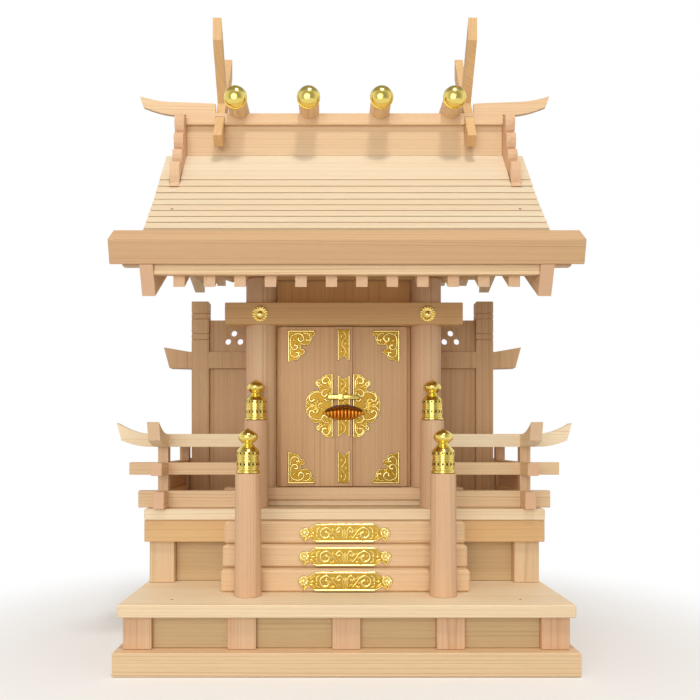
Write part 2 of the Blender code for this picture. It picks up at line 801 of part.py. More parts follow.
for hand, sign in (("left", -1), ("right", 1)):
    sweep_from = wing_post_out + WING_BAR_START
    bar_top = WING_BAR_BOTTOM + WING_BAR_HEIGHT
    bar = [
        (wing_inner, WING_BAR_BOTTOM),
        (sweep_from, WING_BAR_BOTTOM),
        (WING_BAR_TIP - WING_BAR_BEVEL, WING_BAR_BOTTOM + WING_GROOVE),
        (WING_BAR_TIP, bar_top + WING_BAR_SWEEP),
        (sweep_from, bar_top),
        (wing_inner, bar_top),
    ]
    bar_half = WING_POST_THICKNESS / 2 - GAP
    bar_depth = (wing_depth - bar_half, wing_depth + bar_half)
    panel_x = sorted((sign * wing_inner, sign * (WING_POST_IN + WING_POST_WIDTH / 2)))
    panel_depth = (wing_depth - WING_PANEL_THICKNESS / 2, wing_depth + WING_PANEL_THICKNESS / 2)
    panel = board(panel_x, panel_depth, (wing_low, WING_PANEL_TOP))
    skirt = board(sorted((sign * WING_POST_IN, sign * skirt_end)), panel_depth, (wing_low, WING_SKIRT_TOP))
    wing = join(
        node(f"wing_{hand}", grooved_post(sign * (WING_POST_IN + WING_POST_WIDTH / 2)), ROSY),
        node(f"wing_{hand}_bar", front([(sign * x, z) for x, z in bar], bar_depth), ROSY, 0.0005),
        node(f"wing_{hand}_panel", panel, ROSY),
        node(f"wing_{hand}_skirt", skirt, ROSY),
    )
    for index in range(3):
        x = sign * (WING_HOLE_X + (index - 1) * WING_HOLE_SPREAD)
        z = WING_HOLE_Z + (WING_HOLE_RISE if index == 1 else 0)
        hole = rod(
            moved(x, wing_depth - WING_POST_THICKNESS, z),
            moved(x, wing_depth + WING_POST_THICKNESS, z),
            WING_HOLE_RADIUS,
            20,
        )
        cut(wing, node(f"wing_{hand}_hole_{index}", hole, ROSY))

# Purlins over the columns, the front one running out to the gables with its ends cut up like a boat

purlin_low = COLUMN_TOP + GAP
boat = COLUMN_X + COLUMN_RADIUS + PURLIN_BOAT_START
purlin_half = gable_x - PURLIN_INSET
for place, depth in (("front", COLUMN_FRONT), ("rear", COLUMN_REAR)):
    near, far = depth - PURLIN_THICKNESS / 2, depth + PURLIN_THICKNESS / 2
    high = min(front_rafter(near), rear_rafter(near), front_rafter(far), rear_rafter(far)) - GAP
    half_end = [(COLUMN_X + COLUMN_RADIUS, purlin_low), (COLUMN_X + COLUMN_RADIUS, high)]
    if place == "front":
        half_end = [
            (boat, purlin_low),
            (boat + 0.4 * PURLIN_BOAT_RUN, purlin_low + 0.7 * PURLIN_BOAT),
            (boat + PURLIN_BOAT_RUN, purlin_low + PURLIN_BOAT),
            (purlin_half, purlin_low + PURLIN_BOAT),
            (purlin_half, high),
        ]
    outline = half_end + [(-x, z) for x, z in half_end[::-1]]
    node(f"purlin_{place}", front(outline, (near, far)), ROSY)

# Rafters under their soffit boards, one comb for each slope

comb_half = gable_x - GAP
rafter_spacing = 2 * (gable_x - RAFTER_INSET) / (RAFTER_COUNT - 1)
front_run = apex - GAP
rear_run = EAVE_REAR - apex - GAP
for place, bottom, start, run in (
    ("front", RAFTER_BOTTOM, 0, Vector((0, front_run, FRONT_RAFTER_SLOPE * front_run))),
    ("rear", REAR_RAFTER_BOTTOM, EAVE_REAR, Vector((0, -rear_run, REAR_RAFTER_SLOPE * rear_run))),
):
    shelf = bottom + RAFTER_HEIGHT
    outline = [(-comb_half, shelf)]
    for index in range(RAFTER_COUNT):
        middle = (index - (RAFTER_COUNT - 1) / 2) * rafter_spacing
        low, high = middle - RAFTER_WIDTH / 2, middle + RAFTER_WIDTH / 2
        outline += [(low, shelf), (low, bottom), (high, bottom), (high, shelf)]
    outline += [(comb_half, shelf), (comb_half, shelf + SOFFIT_HEIGHT), (-comb_half, shelf + SOFFIT_HEIGHT)]
    node(f"rafters_{place}", extruded([moved(x, start, z) for x, z in outline], run), ROSY)

# Roof boards: the front slope in stepped courses below, plain above, and a plain flowing rear slope

roof_end = RIDGE_BOTTOM - GAP


def on_slope(points, depth):
    """The height of a slope at a depth, carried on past either end."""
    place = 1
    while place < len(points) - 1 and depth > points[place][0]:
        place += 1
    (d0, z0), (d1, z1) = points[place - 1], points[place]
    return z0 + (z1 - z0) * (depth - d0) / (d1 - d0)


def reach(points, height):
    """The depth where the ridge end of a slope passes a height."""
    (d0, z0), (d1, z1) = points[:2] if points[0][1] > points[-1][1] else points[-2:]
    return d0 + (d1 - d0) * (height - z0) / (z1 - z0)


def under(points, depth):
    """The height just below a roof board at a depth."""
    return on_slope(points, depth) - ROOF_BOARD - GAP


front_top_end = reach(FRONT_SLOPE, roof_end)
front_under_end = reach(FRONT_SLOPE, roof_end + ROOF_BOARD)
rear_top_end = reach(REAR_SLOPE, roof_end)
rear_under_end = reach(REAR_SLOPE, roof_end + ROOF_BOARD)
front_lip = FRONT_SLOPE[0][0] + ROOF_LIP
outline = [FRONT_SLOPE[0]]
for index in range(COURSES):
    edge = COURSE_FIRST + index * COURSE_GOING
    crest = on_slope(FRONT_SLOPE, edge)
    outline += [(edge + COURSE_GROOVE, crest - COURSE_LIP), (edge, crest - COURSE_LIP), (edge, crest)]
outline += [(front_top_end, roof_end), (front_under_end, roof_end)]
outline += [(depth, z - ROOF_BOARD) for depth, z in FRONT_SLOPE[2:0:-1]]
outline.append((front_lip, on_slope(FRONT_SLOPE, front_lip) - ROOF_BOARD))
node("roof_front", side(outline, (-ROOF_HALF, ROOF_HALF)), PALE)
outline = [(rear_under_end, roof_end), (rear_top_end, roof_end)]
outline += REAR_SLOPE[1:]
outline += [(depth, z - ROOF_BOARD) for depth, z in REAR_SLOPE[:0:-1]]
node("roof_rear", side(outline, (-ROOF_HALF, ROOF_HALF)), PALE)

# Fascia and the thin boards under it

fascia_toe = FASCIA_LEAN - FASCIA_FRONT
fascia_heel = fascia_toe + FASCIA_DEPTH
fascia_top = FASCIA_LOW + FASCIA_HEIGHT
fascia = [
    (fascia_toe, FASCIA_LOW),
    (fascia_heel, FASCIA_LOW + FRONT_RAFTER_SLOPE * FASCIA_DEPTH),
    (FASCIA_DEPTH - FASCIA_FRONT, fascia_top + FASCIA_TOP_SLOPE * FASCIA_DEPTH),
    (-FASCIA_FRONT, fascia_top),
]
node("fascia", side(fascia, (-fascia_half, fascia_half)), ROSY, 0.0006)
lath_half = fascia_half - LATH_INSET
eave_top = LATH_LOW + LATH_HEIGHT / 2
lower_layer = board(
    (-comb_half, comb_half), (-EAVE_THICKNESS - EAVE_LAYER_STEP, -GAP), (EAVE_LOW, EAVE_LOW + EAVE_LAYER)
)
upper_layer = board((-comb_half, comb_half), (-EAVE_THICKNESS, -GAP), (EAVE_LOW + EAVE_LAYER / 2, eave_top))
lath = board((-lath_half, lath_half), (-LATH_FRONT, LATH_BACK), (LATH_LOW, LATH_LOW + LATH_HEIGHT))
eave = node("eave_board", lower_layer, ROSY)
join(eave, node("eave_upper", upper_layer, ROSY), node("eave_lath", lath, ROSY))

# Gable boards closing the roof at each side, their front ends leaning out to the fascia

lath_under = LATH_LOW - GAP
heel = fascia_heel + 3 * GAP
gable = [
    (0, RAFTER_BOTTOM - GABLE_DROP),
    (apex, front_rafter(apex) - GABLE_DROP),
    (EAVE_REAR, REAR_RAFTER_BOTTOM - GABLE_DROP),
    (EAVE_REAR, under(REAR_SLOPE, EAVE_REAR)),
]
gable += [(depth, z - ROOF_BOARD - GAP) for depth, z in REAR_SLOPE[3:0:-1]]
gable += [(rear_under_end, roof_end - GAP), (front_under_end, roof_end - GAP)]
gable += [(depth, z - ROOF_BOARD - GAP) for depth, z in FRONT_SLOPE[2:0:-1]]
gable += [
    (heel, under(FRONT_SLOPE, heel)),
    (heel, FASCIA_LOW + FRONT_RAFTER_SLOPE * FASCIA_DEPTH),
    (LATH_BACK + 2 * GAP, lath_under),
    (-GABLE_LEAN, lath_under),
]
for hand, sign in (("left", -1), ("right", 1)):
    sides = sorted((sign * gable_x, sign * (gable_x + GABLE_THICKNESS)))
    node(f"bargeboard_{hand}", side(gable, sides), ROSY)

# Ridge: a box beam, a wider board with upswept ends, crossed blades, logs and scrolled end boards

box_top = RIDGE_BOTTOM + RIDGE_BOX_HEIGHT
ridge_low = box_top + GAP
ridge_top = ridge_low + RIDGE_BOARD_HEIGHT
box_depth = (RIDGE_DEPTH - RIDGE_THICKNESS / 2, RIDGE_DEPTH + RIDGE_THICKNESS / 2)
cap_depth = (RIDGE_DEPTH - RIDGE_BOARD_THICKNESS / 2, RIDGE_DEPTH + RIDGE_BOARD_THICKNESS / 2)
ridge_box = node("ridge_box", board((-ridge_half, ridge_half), box_depth, (RIDGE_BOTTOM, box_top)), PALE)
ridge_board = node("ridge_board", board((-ridge_half, ridge_half), cap_depth, (ridge_low, ridge_top)), PALE)


def ridge_end(sign):
    """The thin front board from the crossed blades out over the scroll to its upswept tip."""
    inner = cross_x + CROSS_WIDTH / 2 + GAP
    outer = ridge_half + SCROLL_THICKNESS + 2 * GAP
    tip = ridge_half + RIDGE_END_REACH
    root = ridge_top - RIDGE_END_ROOT
    lower, upper = [(inner, root), (outer, root)], [(inner, ridge_top + RIDGE_END_HEIGHT)]
    for index in range(7):
        part = index / 6
        under_x = outer + part * (tip - RIDGE_END_BEVEL - outer)
        lower.append((under_x, ridge_top - RIDGE_END_DROP + RIDGE_END_LIFT * part**1.7))
        sweep = RIDGE_END_SWEEP * (0.2 + 0.8 * part**2)
        upper.append((outer + part * (tip - outer), ridge_top + RIDGE_END_HEIGHT + sweep))
    depths = (cap_depth[0] + GAP, cap_depth[0] + GAP + RIDGE_END_THICKNESS)
    return front([(sign * x, z) for x, z in lower + upper[::-1]], depths)


def blade_outline(lean_sign, grow):
    """The side view of one crossed blade, its top cut upright, grown all round by a little for its slot."""
    half = CROSS_BLADE / 2 + grow
    lean = half * math.hypot(1, CROSS_SLOPE) / CROSS_SLOPE
    low = Vector((-CROSS_BOTTOM, -CROSS_BOTTOM * CROSS_SLOPE))
    square = Vector((CROSS_SLOPE, -1)).normalized() * half
    high = CROSS_TOP + grow
    outline = [
        tuple(low + square),
        (high, CROSS_SLOPE * (high - lean)),
        (high, CROSS_SLOPE * (high + lean)),
        tuple(low - square),
    ]
    return [(RIDGE_DEPTH + lean_sign * run, CROSS_HEIGHT + rise) for run, rise in outline]


def scroll_outline():
    """The side view of the lobed end board, front lobes mirrored behind and its foot following the roof."""
    edge = []
    for top, bottom, nose in zip(SCROLL_HEIGHTS, SCROLL_HEIGHTS[1:], SCROLL_NOSES):
        for out, down in SCROLL_LOBE:
            z = ridge_top - top - down * (bottom - top)
            edge.append((RIDGE_DEPTH - nose + SCROLL_BULGE * (1 - out), z))
    mirrored = [(2 * RIDGE_DEPTH - depth, z) for depth, z in edge]
    behind = [(depth, z) for depth, z in mirrored if z > on_slope(REAR_SLOPE, depth) + 0.001]
    foot = behind[-1][0] - SCROLL_FOOT
    outline = [(SCROLL_TIP, on_slope(FRONT_SLOPE, SCROLL_TIP) + GAP)] + edge[::-1] + behind
    outline += [(foot, on_slope(REAR_SLOPE, foot) + GAP), (rear_top_end, RIDGE_BOTTOM)]
    return outline + [(front_top_end, RIDGE_BOTTOM), (FRONT_SLOPE[2][0], FRONT_SLOPE[2][1] + GAP)]


for hand, sign in (("left", -1), ("right", 1)):
    join(ridge_board, node(f"ridge_end_{hand}", ridge_end(sign), PALE))
    for grow in (0, GAP):
        half = CROSS_WIDTH / 2 + grow
        width = (sign * cross_x - half, sign * cross_x + half)
        name = f"cross_{hand}" if not grow else f"cross_{hand}_slot"
        forward = node(name, side(blade_outline(-1, grow), width), PALE)
        back = node(name + "_back", side(blade_outline(1, grow), width), PALE)
        if grow:
            cut(ridge_board, forward, back)
            cut(ridge_box, forward, back)
        else:
            join(forward, back)
    scroll_x = sorted((sign * (ridge_half + GAP), sign * (ridge_half + GAP + SCROLL_THICKNESS)))
    node(f"scroll_{hand}", side(scroll_outline(), scroll_x), PALE)

# Logs across the ridge, notched over its board, with domed metal caps on both ends

wood_end = LOG_HALF
half_log = [(LOG_RADIUS, wood_end), (CAP_LIP_RADIUS, wood_end), (CAP_LIP_RADIUS, wood_end + CAP_LIP)]
for index in range(5):
    turn = math.radians(22.5 * index)
    rise = CAP_LIP + (CAP_HEIGHT - CAP_LIP) * math.sin(turn)
    half_log.append((CAP_RADIUS * math.cos(turn) if index < 4 else 0, wood_end + rise))
log_profile = [(radius, -run) for radius, run in half_log[::-1]] + half_log
log_spacing = (cross_x - LOG_INSET) / 1.5
upright_to_level = Matrix.Rotation(math.radians(90), 3, "X")
for index in range(4):
    x = (index - 1.5) * log_spacing
    log = turned(log_profile, (0, origin_depth), 20)
    bmesh.ops.rotate(log, verts=log.verts[:], cent=(0, 0, 0), matrix=upright_to_level)
    bmesh.ops.translate(log, verts=log.verts[:], vec=moved(x, RIDGE_DEPTH, LOG_Z))
    notch = board(
        (x - CAP_LIP_RADIUS, x + CAP_LIP_RADIUS),
        (cap_depth[0] - GAP, cap_depth[1] + GAP),
        (ridge_top - CAP_LIP_RADIUS, ridge_top + GAP),
    )
    name = f"ridge_log_{index + 1}"
    smooth(cut(node(name, log, PALE), node(f"{name}_notch", notch, PALE)))

bpy.context.view_layer.update()
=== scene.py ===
import itertools
import math

import bmesh
import bpy
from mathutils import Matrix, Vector


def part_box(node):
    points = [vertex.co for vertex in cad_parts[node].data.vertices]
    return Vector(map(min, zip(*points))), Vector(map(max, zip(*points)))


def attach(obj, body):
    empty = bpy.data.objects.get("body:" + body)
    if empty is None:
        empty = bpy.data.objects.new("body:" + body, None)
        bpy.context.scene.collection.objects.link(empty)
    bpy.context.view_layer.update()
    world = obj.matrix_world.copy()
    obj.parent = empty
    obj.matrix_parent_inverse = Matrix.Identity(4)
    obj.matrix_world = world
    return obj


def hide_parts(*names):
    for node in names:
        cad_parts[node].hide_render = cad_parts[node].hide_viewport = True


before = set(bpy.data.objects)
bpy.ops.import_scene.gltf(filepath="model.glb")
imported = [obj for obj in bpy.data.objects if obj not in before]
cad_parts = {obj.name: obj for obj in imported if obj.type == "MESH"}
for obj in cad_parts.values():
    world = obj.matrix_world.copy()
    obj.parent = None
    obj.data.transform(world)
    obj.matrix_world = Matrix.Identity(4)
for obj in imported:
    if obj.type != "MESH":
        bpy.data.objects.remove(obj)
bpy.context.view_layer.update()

# The plinth and the platform, two wide boards of planed and unfinished cypress, glued under and over the
# lower tier. The wood has thin, uneven lines of late wood, soft streaks and rosy end grain, with its grain
# along each board.


def linear(colour):
    """An sRGB hex colour as linear red, green, blue and alpha."""
    parts = [int(colour[place : place + 2], 16) / 255 for place in (1, 3, 5)]
    return [part / 12.92 if part <= 0.04045 else ((part + 0.055) / 1.055) ** 2.4 for part in parts] + [1.0]


def add(tree, kind, values=None, links=None, **settings):
    """Adds one shader node with its settings, its values and what is linked to its inputs."""
    node = tree.nodes.new(kind)
    for name, value in settings.items():
        setattr(node, name, value)
    for socket, value in (values or {}).items():
        node.inputs[socket].default_value = value
    for socket, source in (links or {}).items():
        tree.links.new(source, node.inputs[socket])
    return node


def between(tree, value, low, high, to_low=0.0, to_high=1.0):
    """A value spread from one range to another, with soft ends."""
    limits = {"From Min": low, "From Max": high, "To Min": to_low, "To Max": to_high}
    spread = add(tree, "ShaderNodeMapRange", limits, {"Value": value}, interpolation_type="SMOOTHSTEP")
    return spread.outputs[0]


def mixed(tree, factor, first, second):
    """Two colours, each a hex code or a socket, mixed by a factor."""
    node = add(tree, "ShaderNodeMix", None, {0: factor}, data_type="RGBA")
    for socket, colour in ((6, first), (7, second)):
        if isinstance(colour, str):
            node.inputs[socket].default_value = linear(colour)
        else:
            tree.links.new(colour, node.inputs[socket])
    return node.outputs[2]


ACROSS, BACK, UP = (1, 0, 0), (0, 1, 0), (0, 0, 1)
# Early wood, late wood, blush and end grain of a board.
HONEY = ("#E6C89E", "#CBA374", "#E2BF96", "#DAAE8C")
PALE = ("#F0DDBC", "#DCBE93", "#ECD3AE", "#DEBC97")
RING = 0.0013
# Each board is cut from its own place in the log. cuts counts those places, from the next board's onward.
cuts = itertools.count(1)


def planed_cypress(name, along, tone):
    """A board's material. along is the direction of its grain and tone its four colours."""
    cut = next(cuts)
    early, late, blush, end = tone
    along = Vector(along).normalized()
    material = bpy.data.materials.new(f"planed_cypress_{name}")
    material.use_nodes = True
    tree = material.node_tree
    shader = tree.nodes["Principled BSDF"]
    shader.inputs["IOR"].default_value = 1.48
    place = add(tree, "ShaderNodeTexCoord")
    turn = along.rotation_difference(Vector((1, 0, 0))).to_euler()
    turned = add(tree, "ShaderNodeMapping", {"Rotation": turn}, {"Vector": place.outputs["Object"]})
    # The heart of the tree lies to one side of the board, so its rings cross the face as long lines.
    heart = (0.37 * cut, 0.10 + 0.21 * (0.37 * cut % 1), 0.09 + 0.19 * (0.61 * cut % 1))
    laid = {"Location": heart, "Scale": (0.04, 1, 1)}
    grown = add(tree, "ShaderNodeMapping", laid, {"Vector": turned.outputs[0]}).outputs[0]
    sway = add(tree, "ShaderNodeTexNoise", {"Scale": 11.0, "Detail": 2.0}, {"Vector": grown}).outputs["Fac"]
    sides = add(tree, "ShaderNodeSeparateXYZ", None, {0: grown})
    flat = add(tree, "ShaderNodeCombineXYZ", None, {1: sides.outputs[1], 2: sides.outputs[2]})
    radius = add(tree, "ShaderNodeVectorMath", None, {0: flat.outputs[0]}, operation="LENGTH").outputs[1]
    swayed = add(tree, "ShaderNodeMath", {1: 0.03}, {0: sway, 2: radius}, operation="MULTIPLY_ADD").outputs[0]
    years = add(tree, "ShaderNodeMath", {1: 1 / RING}, {0: swayed}, operation="MULTIPLY").outputs[0]
    yearly = {"Scale": 0.9, "Detail": 2.0, "Roughness": 0.6}
    rings = add(tree, "ShaderNodeTexNoise", yearly, {"W": years}, noise_dimensions="1D").outputs["Fac"]
    streaks = add(tree, "ShaderNodeTexNoise", {"Scale": 150.0, "Detail": 3.0}, {"Vector": grown}).outputs[0]
    patches = add(tree, "ShaderNodeTexNoise", {"Scale": 30.0, "Detail": 2.0}, {"Vector": grown}).outputs[0]
    hair_fine = {"Scale": 1500.0, "Detail": 2.0, "Roughness": 0.7}
    fibres = add(tree, "ShaderNodeTexNoise", hair_fine, {"Vector": grown}).outputs["Fac"]
    lines = {0: between(tree, rings, 0.42, 0.78, 0.0, 0.85), 1: between(tree, streaks, 0.3, 0.7, 0.45, 1.0)}
    late_wood = add(tree, "ShaderNodeMath", None, lines, operation="MULTIPLY").outputs[0]
    ground = mixed(tree, between(tree, patches, 0.35, 0.65), early, blush)
    ringed = mixed(tree, late_wood, ground, late)
    fine = between(tree, fibres, 0.25, 0.75, 0.95, 1.03)
    fibred = add(tree, "ShaderNodeVectorMath", None, {0: ringed, "Scale": fine}, operation="SCALE").outputs[0]
    normal = {0: place.outputs["Normal"]}
    facing = add(tree, "ShaderNodeVectorMath", {1: along}, normal, operation="DOT_PRODUCT").outputs["Value"]
    cut_end = add(tree, "ShaderNodeMath", None, {0: facing}, operation="ABSOLUTE").outputs[0]
    whole = mixed(tree, between(tree, cut_end, 0.75, 0.95, 0.0, 0.85), fibred, end)
    tree.links.new(whole, shader.inputs["Base Color"])
    tree.links.new(between(tree, streaks, 0.3, 0.7, 0.50, 0.62), shader.inputs["Roughness"])
    relief = add(tree, "ShaderNodeMath", None, {0: late_wood, 1: fibres}, operation="ADD").outputs[0]
    bump = add(tree, "ShaderNodeBump", {"Strength": 0.2, "Distance": 0.00007}, {"Height": relief})
    tree.links.new(bump.outputs[0], shader.inputs["Normal"])
    return material


def dress(along, tone, *nodes):
    """Gives each of these nodes of the frame its own board of cypress."""
    for node in nodes:
        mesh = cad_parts[node].data
        mesh.materials.clear()
        mesh.materials.append(planed_cypress(node, along, tone))


dress(ACROSS, HONEY, "plinth")
dress(ACROSS, PALE, "platform")

# The posts and boards of the two tiers. Square cypress posts stand proud of thinner boards let in between
# them, all with small eased edges. The part holds each tier as one solid ring, and these pieces stand for it
# here.
ROSY = ("#DDBB95", "#C3976E", "#D9AF8A", "#C8966E")
STRAW = ("#DDBF98", "#C6A177", "#D9B991", "#CFA77C")
# The boards let in between the posts: a yellower tone, painted darker as the shade on boards set back between
# the posts and under the overhangs above them.
SET_BACK_BOARD_SHADE = ("#CDB083", "#B7986A", "#C9AB7E", "#BE9B70")
TIER_POST = 0.0275
TIER_BOARD = 0.010
# A hair's gap, so that no two boards have faces in one plane.
JOINT = 0.0001


def keep(name, bm, material, body, replaced=(), smooth=0):
    """One piece from a bmesh. It rides on a body and stands for the nodes that it replaces."""
    bmesh.ops.recalc_face_normals(bm, faces=bm.faces[:])
    mesh = bpy.data.meshes.new(name)
    bm.to_mesh(mesh)
    bm.free()
    mesh.materials.append(material)
    if smooth:
        mesh.shade_smooth()
        mesh.set_sharp_from_angle(angle=math.radians(smooth))
    piece = bpy.data.objects.new(name, mesh)
    bpy.context.scene.collection.objects.link(piece)
    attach(piece, body)
    if replaced:
        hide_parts(*replaced)


def eased(bm, edges, offset, segments, clamp=False):
    """Planes a flat along these edges, or rounds them off in several segments."""
    bmesh.ops.bevel(
        bm,
        geom=edges,
        offset=offset,
        offset_type="OFFSET",
        affect="EDGES",
        segments=segments,
        profile=0.5,
        material=-1,
        clamp_overlap=clamp,
    )


def block(bm, low, high, ease, segments=1):
    """A square-cut block between two corners with its edges eased."""
    corners = bmesh.ops.create_cube(bm, size=1.0)["verts"]
    for vert in corners:
        vert.co = [a + (part + 0.5) * (b - a) for a, b, part in zip(low, high, vert.co)]
    eased(bm, [edge for edge in bm.edges if edge.verts[0] in corners], ease, segments)


def plank(name, low, high, along, tone, replaced, ease=0.0005):
    """A board of cypress that stands for part of a node."""
    bm = bmesh.new()
    block(bm, low, high, ease)
    keep(name, bm, planed_cypress(name, along, tone), "shrine", (replaced,))


cuts = itertools.count(43)
# How far the boards stand back, how many posts are between the corner ones, and the wood of the posts.
for tier, recess, middles, post_tone in (("lower", 0.0061, 3, ROSY), ("upper", 0.011, 0, STRAW)):
    node = f"{tier}_wall"
    low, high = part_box(node)
    posts_x = [low.x + index * (high.x - low.x - TIER_POST) / (middles + 1) for index in range(middles + 2)]
    posts_y = [low.y, (low.y + high.y - TIER_POST) / 2, high.y - TIER_POST]
    for row, y in enumerate(posts_y):
        for index, x in enumerate(posts_x if row != 1 else (posts_x[0], posts_x[-1])):
            ends = (x, y, low.z), (x + TIER_POST, y + TIER_POST, high.z)
            plank(f"{tier}_post_{row}_{index}", *ends, UP, post_tone, node)
    for row, y in (("front", low.y + recess), ("rear", high.y - recess - TIER_BOARD)):
        for index, (left, right) in enumerate(zip(posts_x, posts_x[1:])):
            ends = (left + TIER_POST + JOINT, y, low.z), (right - JOINT, y + TIER_BOARD, high.z)
            plank(f"{tier}_board_{row}_{index}", *ends, ACROSS, SET_BACK_BOARD_SHADE, node)
    for row, x in (("left", low.x + recess), ("right", high.x - recess - TIER_BOARD)):
        for index, (near, far) in enumerate(zip(posts_y, posts_y[1:])):
            ends = (x, near + TIER_POST + JOINT, low.z), (x + TIER_BOARD, far - JOINT, high.z)
            plank(f"{tier}_board_{row}_{index}", *ends, BACK, SET_BACK_BOARD_SHADE, node)

# The floor and the beam under it. Four cypress boards on edge make the beam, the front and rear ones running
# through to its ends, and the wide floor board is glued on top of them.
# A darker, warmer tone that paints shade: the warm orange of wood lying in shade, for the beam under the
# floor, the lintel and purlins under the eave and the undersides of the crossed blades.
AMBER = ("#DDB680", "#C29860", "#D9AF7A", "#C69864")
BEAM = 0.0275
low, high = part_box("floor_beam")
cuts = itertools.count(79)
# The beam's boards take the amber tone, painted shade under the floor.
for name, y in (("front", low.y), ("rear", high.y - BEAM)):
    plank(f"beam_{name}", (low.x, y, low.z), (high.x, y + BEAM, high.z), ACROSS, AMBER, "floor_beam")
for name, x in (("left", low.x), ("right", high.x - BEAM)):
    ends = (x, low.y + BEAM + JOINT, low.z), (x + BEAM, high.y - BEAM - JOINT, high.z)
    plank(f"beam_{name}", *ends, BACK, AMBER, "floor_beam")
cuts = itertools.count(3)
dress(ACROSS, PALE, "floor")

# The three steps between the newels. Each is a thick cypress board with its grain across, and the boards are
# stacked and glued, each one set back over the one below.
cuts = itertools.count(6)
dress(ACROSS, HONEY, "step_1", "step_2", "step_3")

# The four newels, turned round posts of rosy cypress that stand on the platform and on the floor, on either
# side of the steps. They are pinned from below and carry the finials.
cuts = itertools.count(9)
dress(UP, ROSY, "newel_front_left", "newel_front_right", "newel_rear_left", "newel_rear_right")

# The finials of the newels, onion-shaped caps of pressed and gilded brass that slip over the posts. Two bands
# round the socket are engraved with a row of short upright marks, small dark blocks that paint their shade.


def gilded(name, colour, roughness, cloud=0.06):
    """Gilded brass, polished or left matt, a little uneven as hand-finished metal is."""
    material = bpy.data.materials.new(name)
    material.use_nodes = True
    tree = material.node_tree
    shader = tree.nodes["Principled BSDF"]
    shader.inputs["Base Color"].default_value = linear(colour)
    shader.inputs["Metallic"].default_value = 1.0
    place = add(tree, "ShaderNodeTexCoord").outputs["Object"]
    spots = add(tree, "ShaderNodeTexNoise", {"Scale": 900.0, "Detail": 2.0}, {"Vector": place})
    rough = between(tree, spots.outputs["Fac"], 0.3, 0.7, roughness - cloud, roughness + cloud)
    tree.links.new(rough, shader.inputs["Roughness"])
    return material


POLISHED = gilded("gilded_brass_polished", "#E9D274", 0.18, 0.04)
# The dark of the engraved marks is painted shade in their cuts.
ENGRAVING_SHADE = gilded("painted_shade_in_engraving", "#4A3814", 0.45)


def lathe(bm, rows, centre, segments, axis="z"):
    """A turned shape from rows of (radius, height), closed on its axis where the radius is nothing."""
    rings = []
    for radius, height in rows:
        ring = []
        for index in range(segments if radius else 1):
            turn = 2 * math.pi * index / segments
            across, other = radius * math.cos(turn), radius * math.sin(turn)
            offset = (across, other, height) if axis == "z" else (across, height, other)
            ring.append(bm.verts.new(Vector(centre) + Vector(offset)))
        rings.append(ring)
    for lower, upper in zip(rings, rings[1:]):
        for index in range(segments):
            after = (index + 1) % segments
            corners = [lower[index % len(lower)], lower[after % len(lower)]]
            corners += [upper[after % len(upper)], upper[index % len(upper)]]
            kept = [corner for place, corner in enumerate(corners) if corner not in corners[:place]]
            if len(kept) > 2:
                bm.faces.new(kept)


# Radius and height up the profile, as shares of the cap's.
FINIAL_ROWS = (
    (0.00, 0.000), (0.95, 0.000), (1.00, 0.012), (1.00, 0.050), (0.95, 0.062), (0.90, 0.075), (0.90, 0.104),
    (0.87, 0.110), (0.90, 0.116), (0.90, 0.145), (0.97, 0.155), (0.97, 0.168), (0.93, 0.176), (0.93, 0.232),
    (0.97, 0.240), (0.97, 0.252), (0.90, 0.262), (0.90, 0.300), (0.87, 0.306), (0.90, 0.312), (0.90, 0.350),
    (0.87, 0.356), (0.90, 0.362), (0.90, 0.395), (0.97, 0.404), (0.97, 0.416), (0.93, 0.423), (0.93, 0.470),
    (0.96, 0.478), (0.90, 0.500), (0.80, 0.540), (0.64, 0.585), (0.50, 0.620), (0.43, 0.645), (0.41, 0.660),
    (0.46, 0.675), (0.60, 0.705), (0.74, 0.740), (0.82, 0.780), (0.83, 0.812), (0.80, 0.845), (0.70, 0.885),
    (0.53, 0.922), (0.34, 0.950), (0.18, 0.972), (0.07, 0.990), (0.00, 1.000),
)
MARKS = 16
MARK_TURN = 0.17
MARK_REACH, MARK_DEPTH = 0.915, 0.05
for place in ("front_left", "front_right", "rear_left", "rear_right"):
    low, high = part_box(f"finial_{place}")
    radius, height = (high.x - low.x) / 2, high.z - low.z
    middle = Vector(((low.x + high.x) / 2, (low.y + high.y) / 2, low.z))
    bm = bmesh.new()
    lathe(bm, [(width * radius, rise * height) for width, rise in FINIAL_ROWS], middle, 64)
    keep(f"finial_cap_{place}", bm, POLISHED, "shrine", (f"finial_{place}",), 32)
    bm = bmesh.new()
    # The foot and the top of each band, as shares of the cap's height.
    for foot, top in ((0.182, 0.226), (0.429, 0.464)):
        for mark in range(MARKS):
            turn = 2 * math.pi * (mark + 0.5) / MARKS
            for vert in bmesh.ops.create_cube(bm, size=1.0)["verts"]:
                angle = turn + vert.co.x * MARK_TURN
                reach = radius * (MARK_REACH + vert.co.y * MARK_DEPTH)
                rise = (foot + (vert.co.z + 0.5) * (top - foot)) * height
                vert.co = middle + Vector((reach * math.cos(angle), reach * math.sin(angle), rise))
    keep(f"finial_marks_{place}", bm, ENGRAVING_SHADE, "shrine")

# The railings. Square cypress posts carry three rails each way, halved over each other at the corner and
# running out past it, the round-edged top pair swept up at their tips. A thin panel closes the lower opening
# of the side run.
RAIL_X, RAIL_REAR, RAIL, RAIL_POST = 0.2034, 0.1082, 0.012, 0.0116
TOP_RAIL, TOP_ROUND, SWEEP, SWEEP_START, UNDERCUT = 0.0130, 0.0046, 0.0123, 0.0390, 0.0055
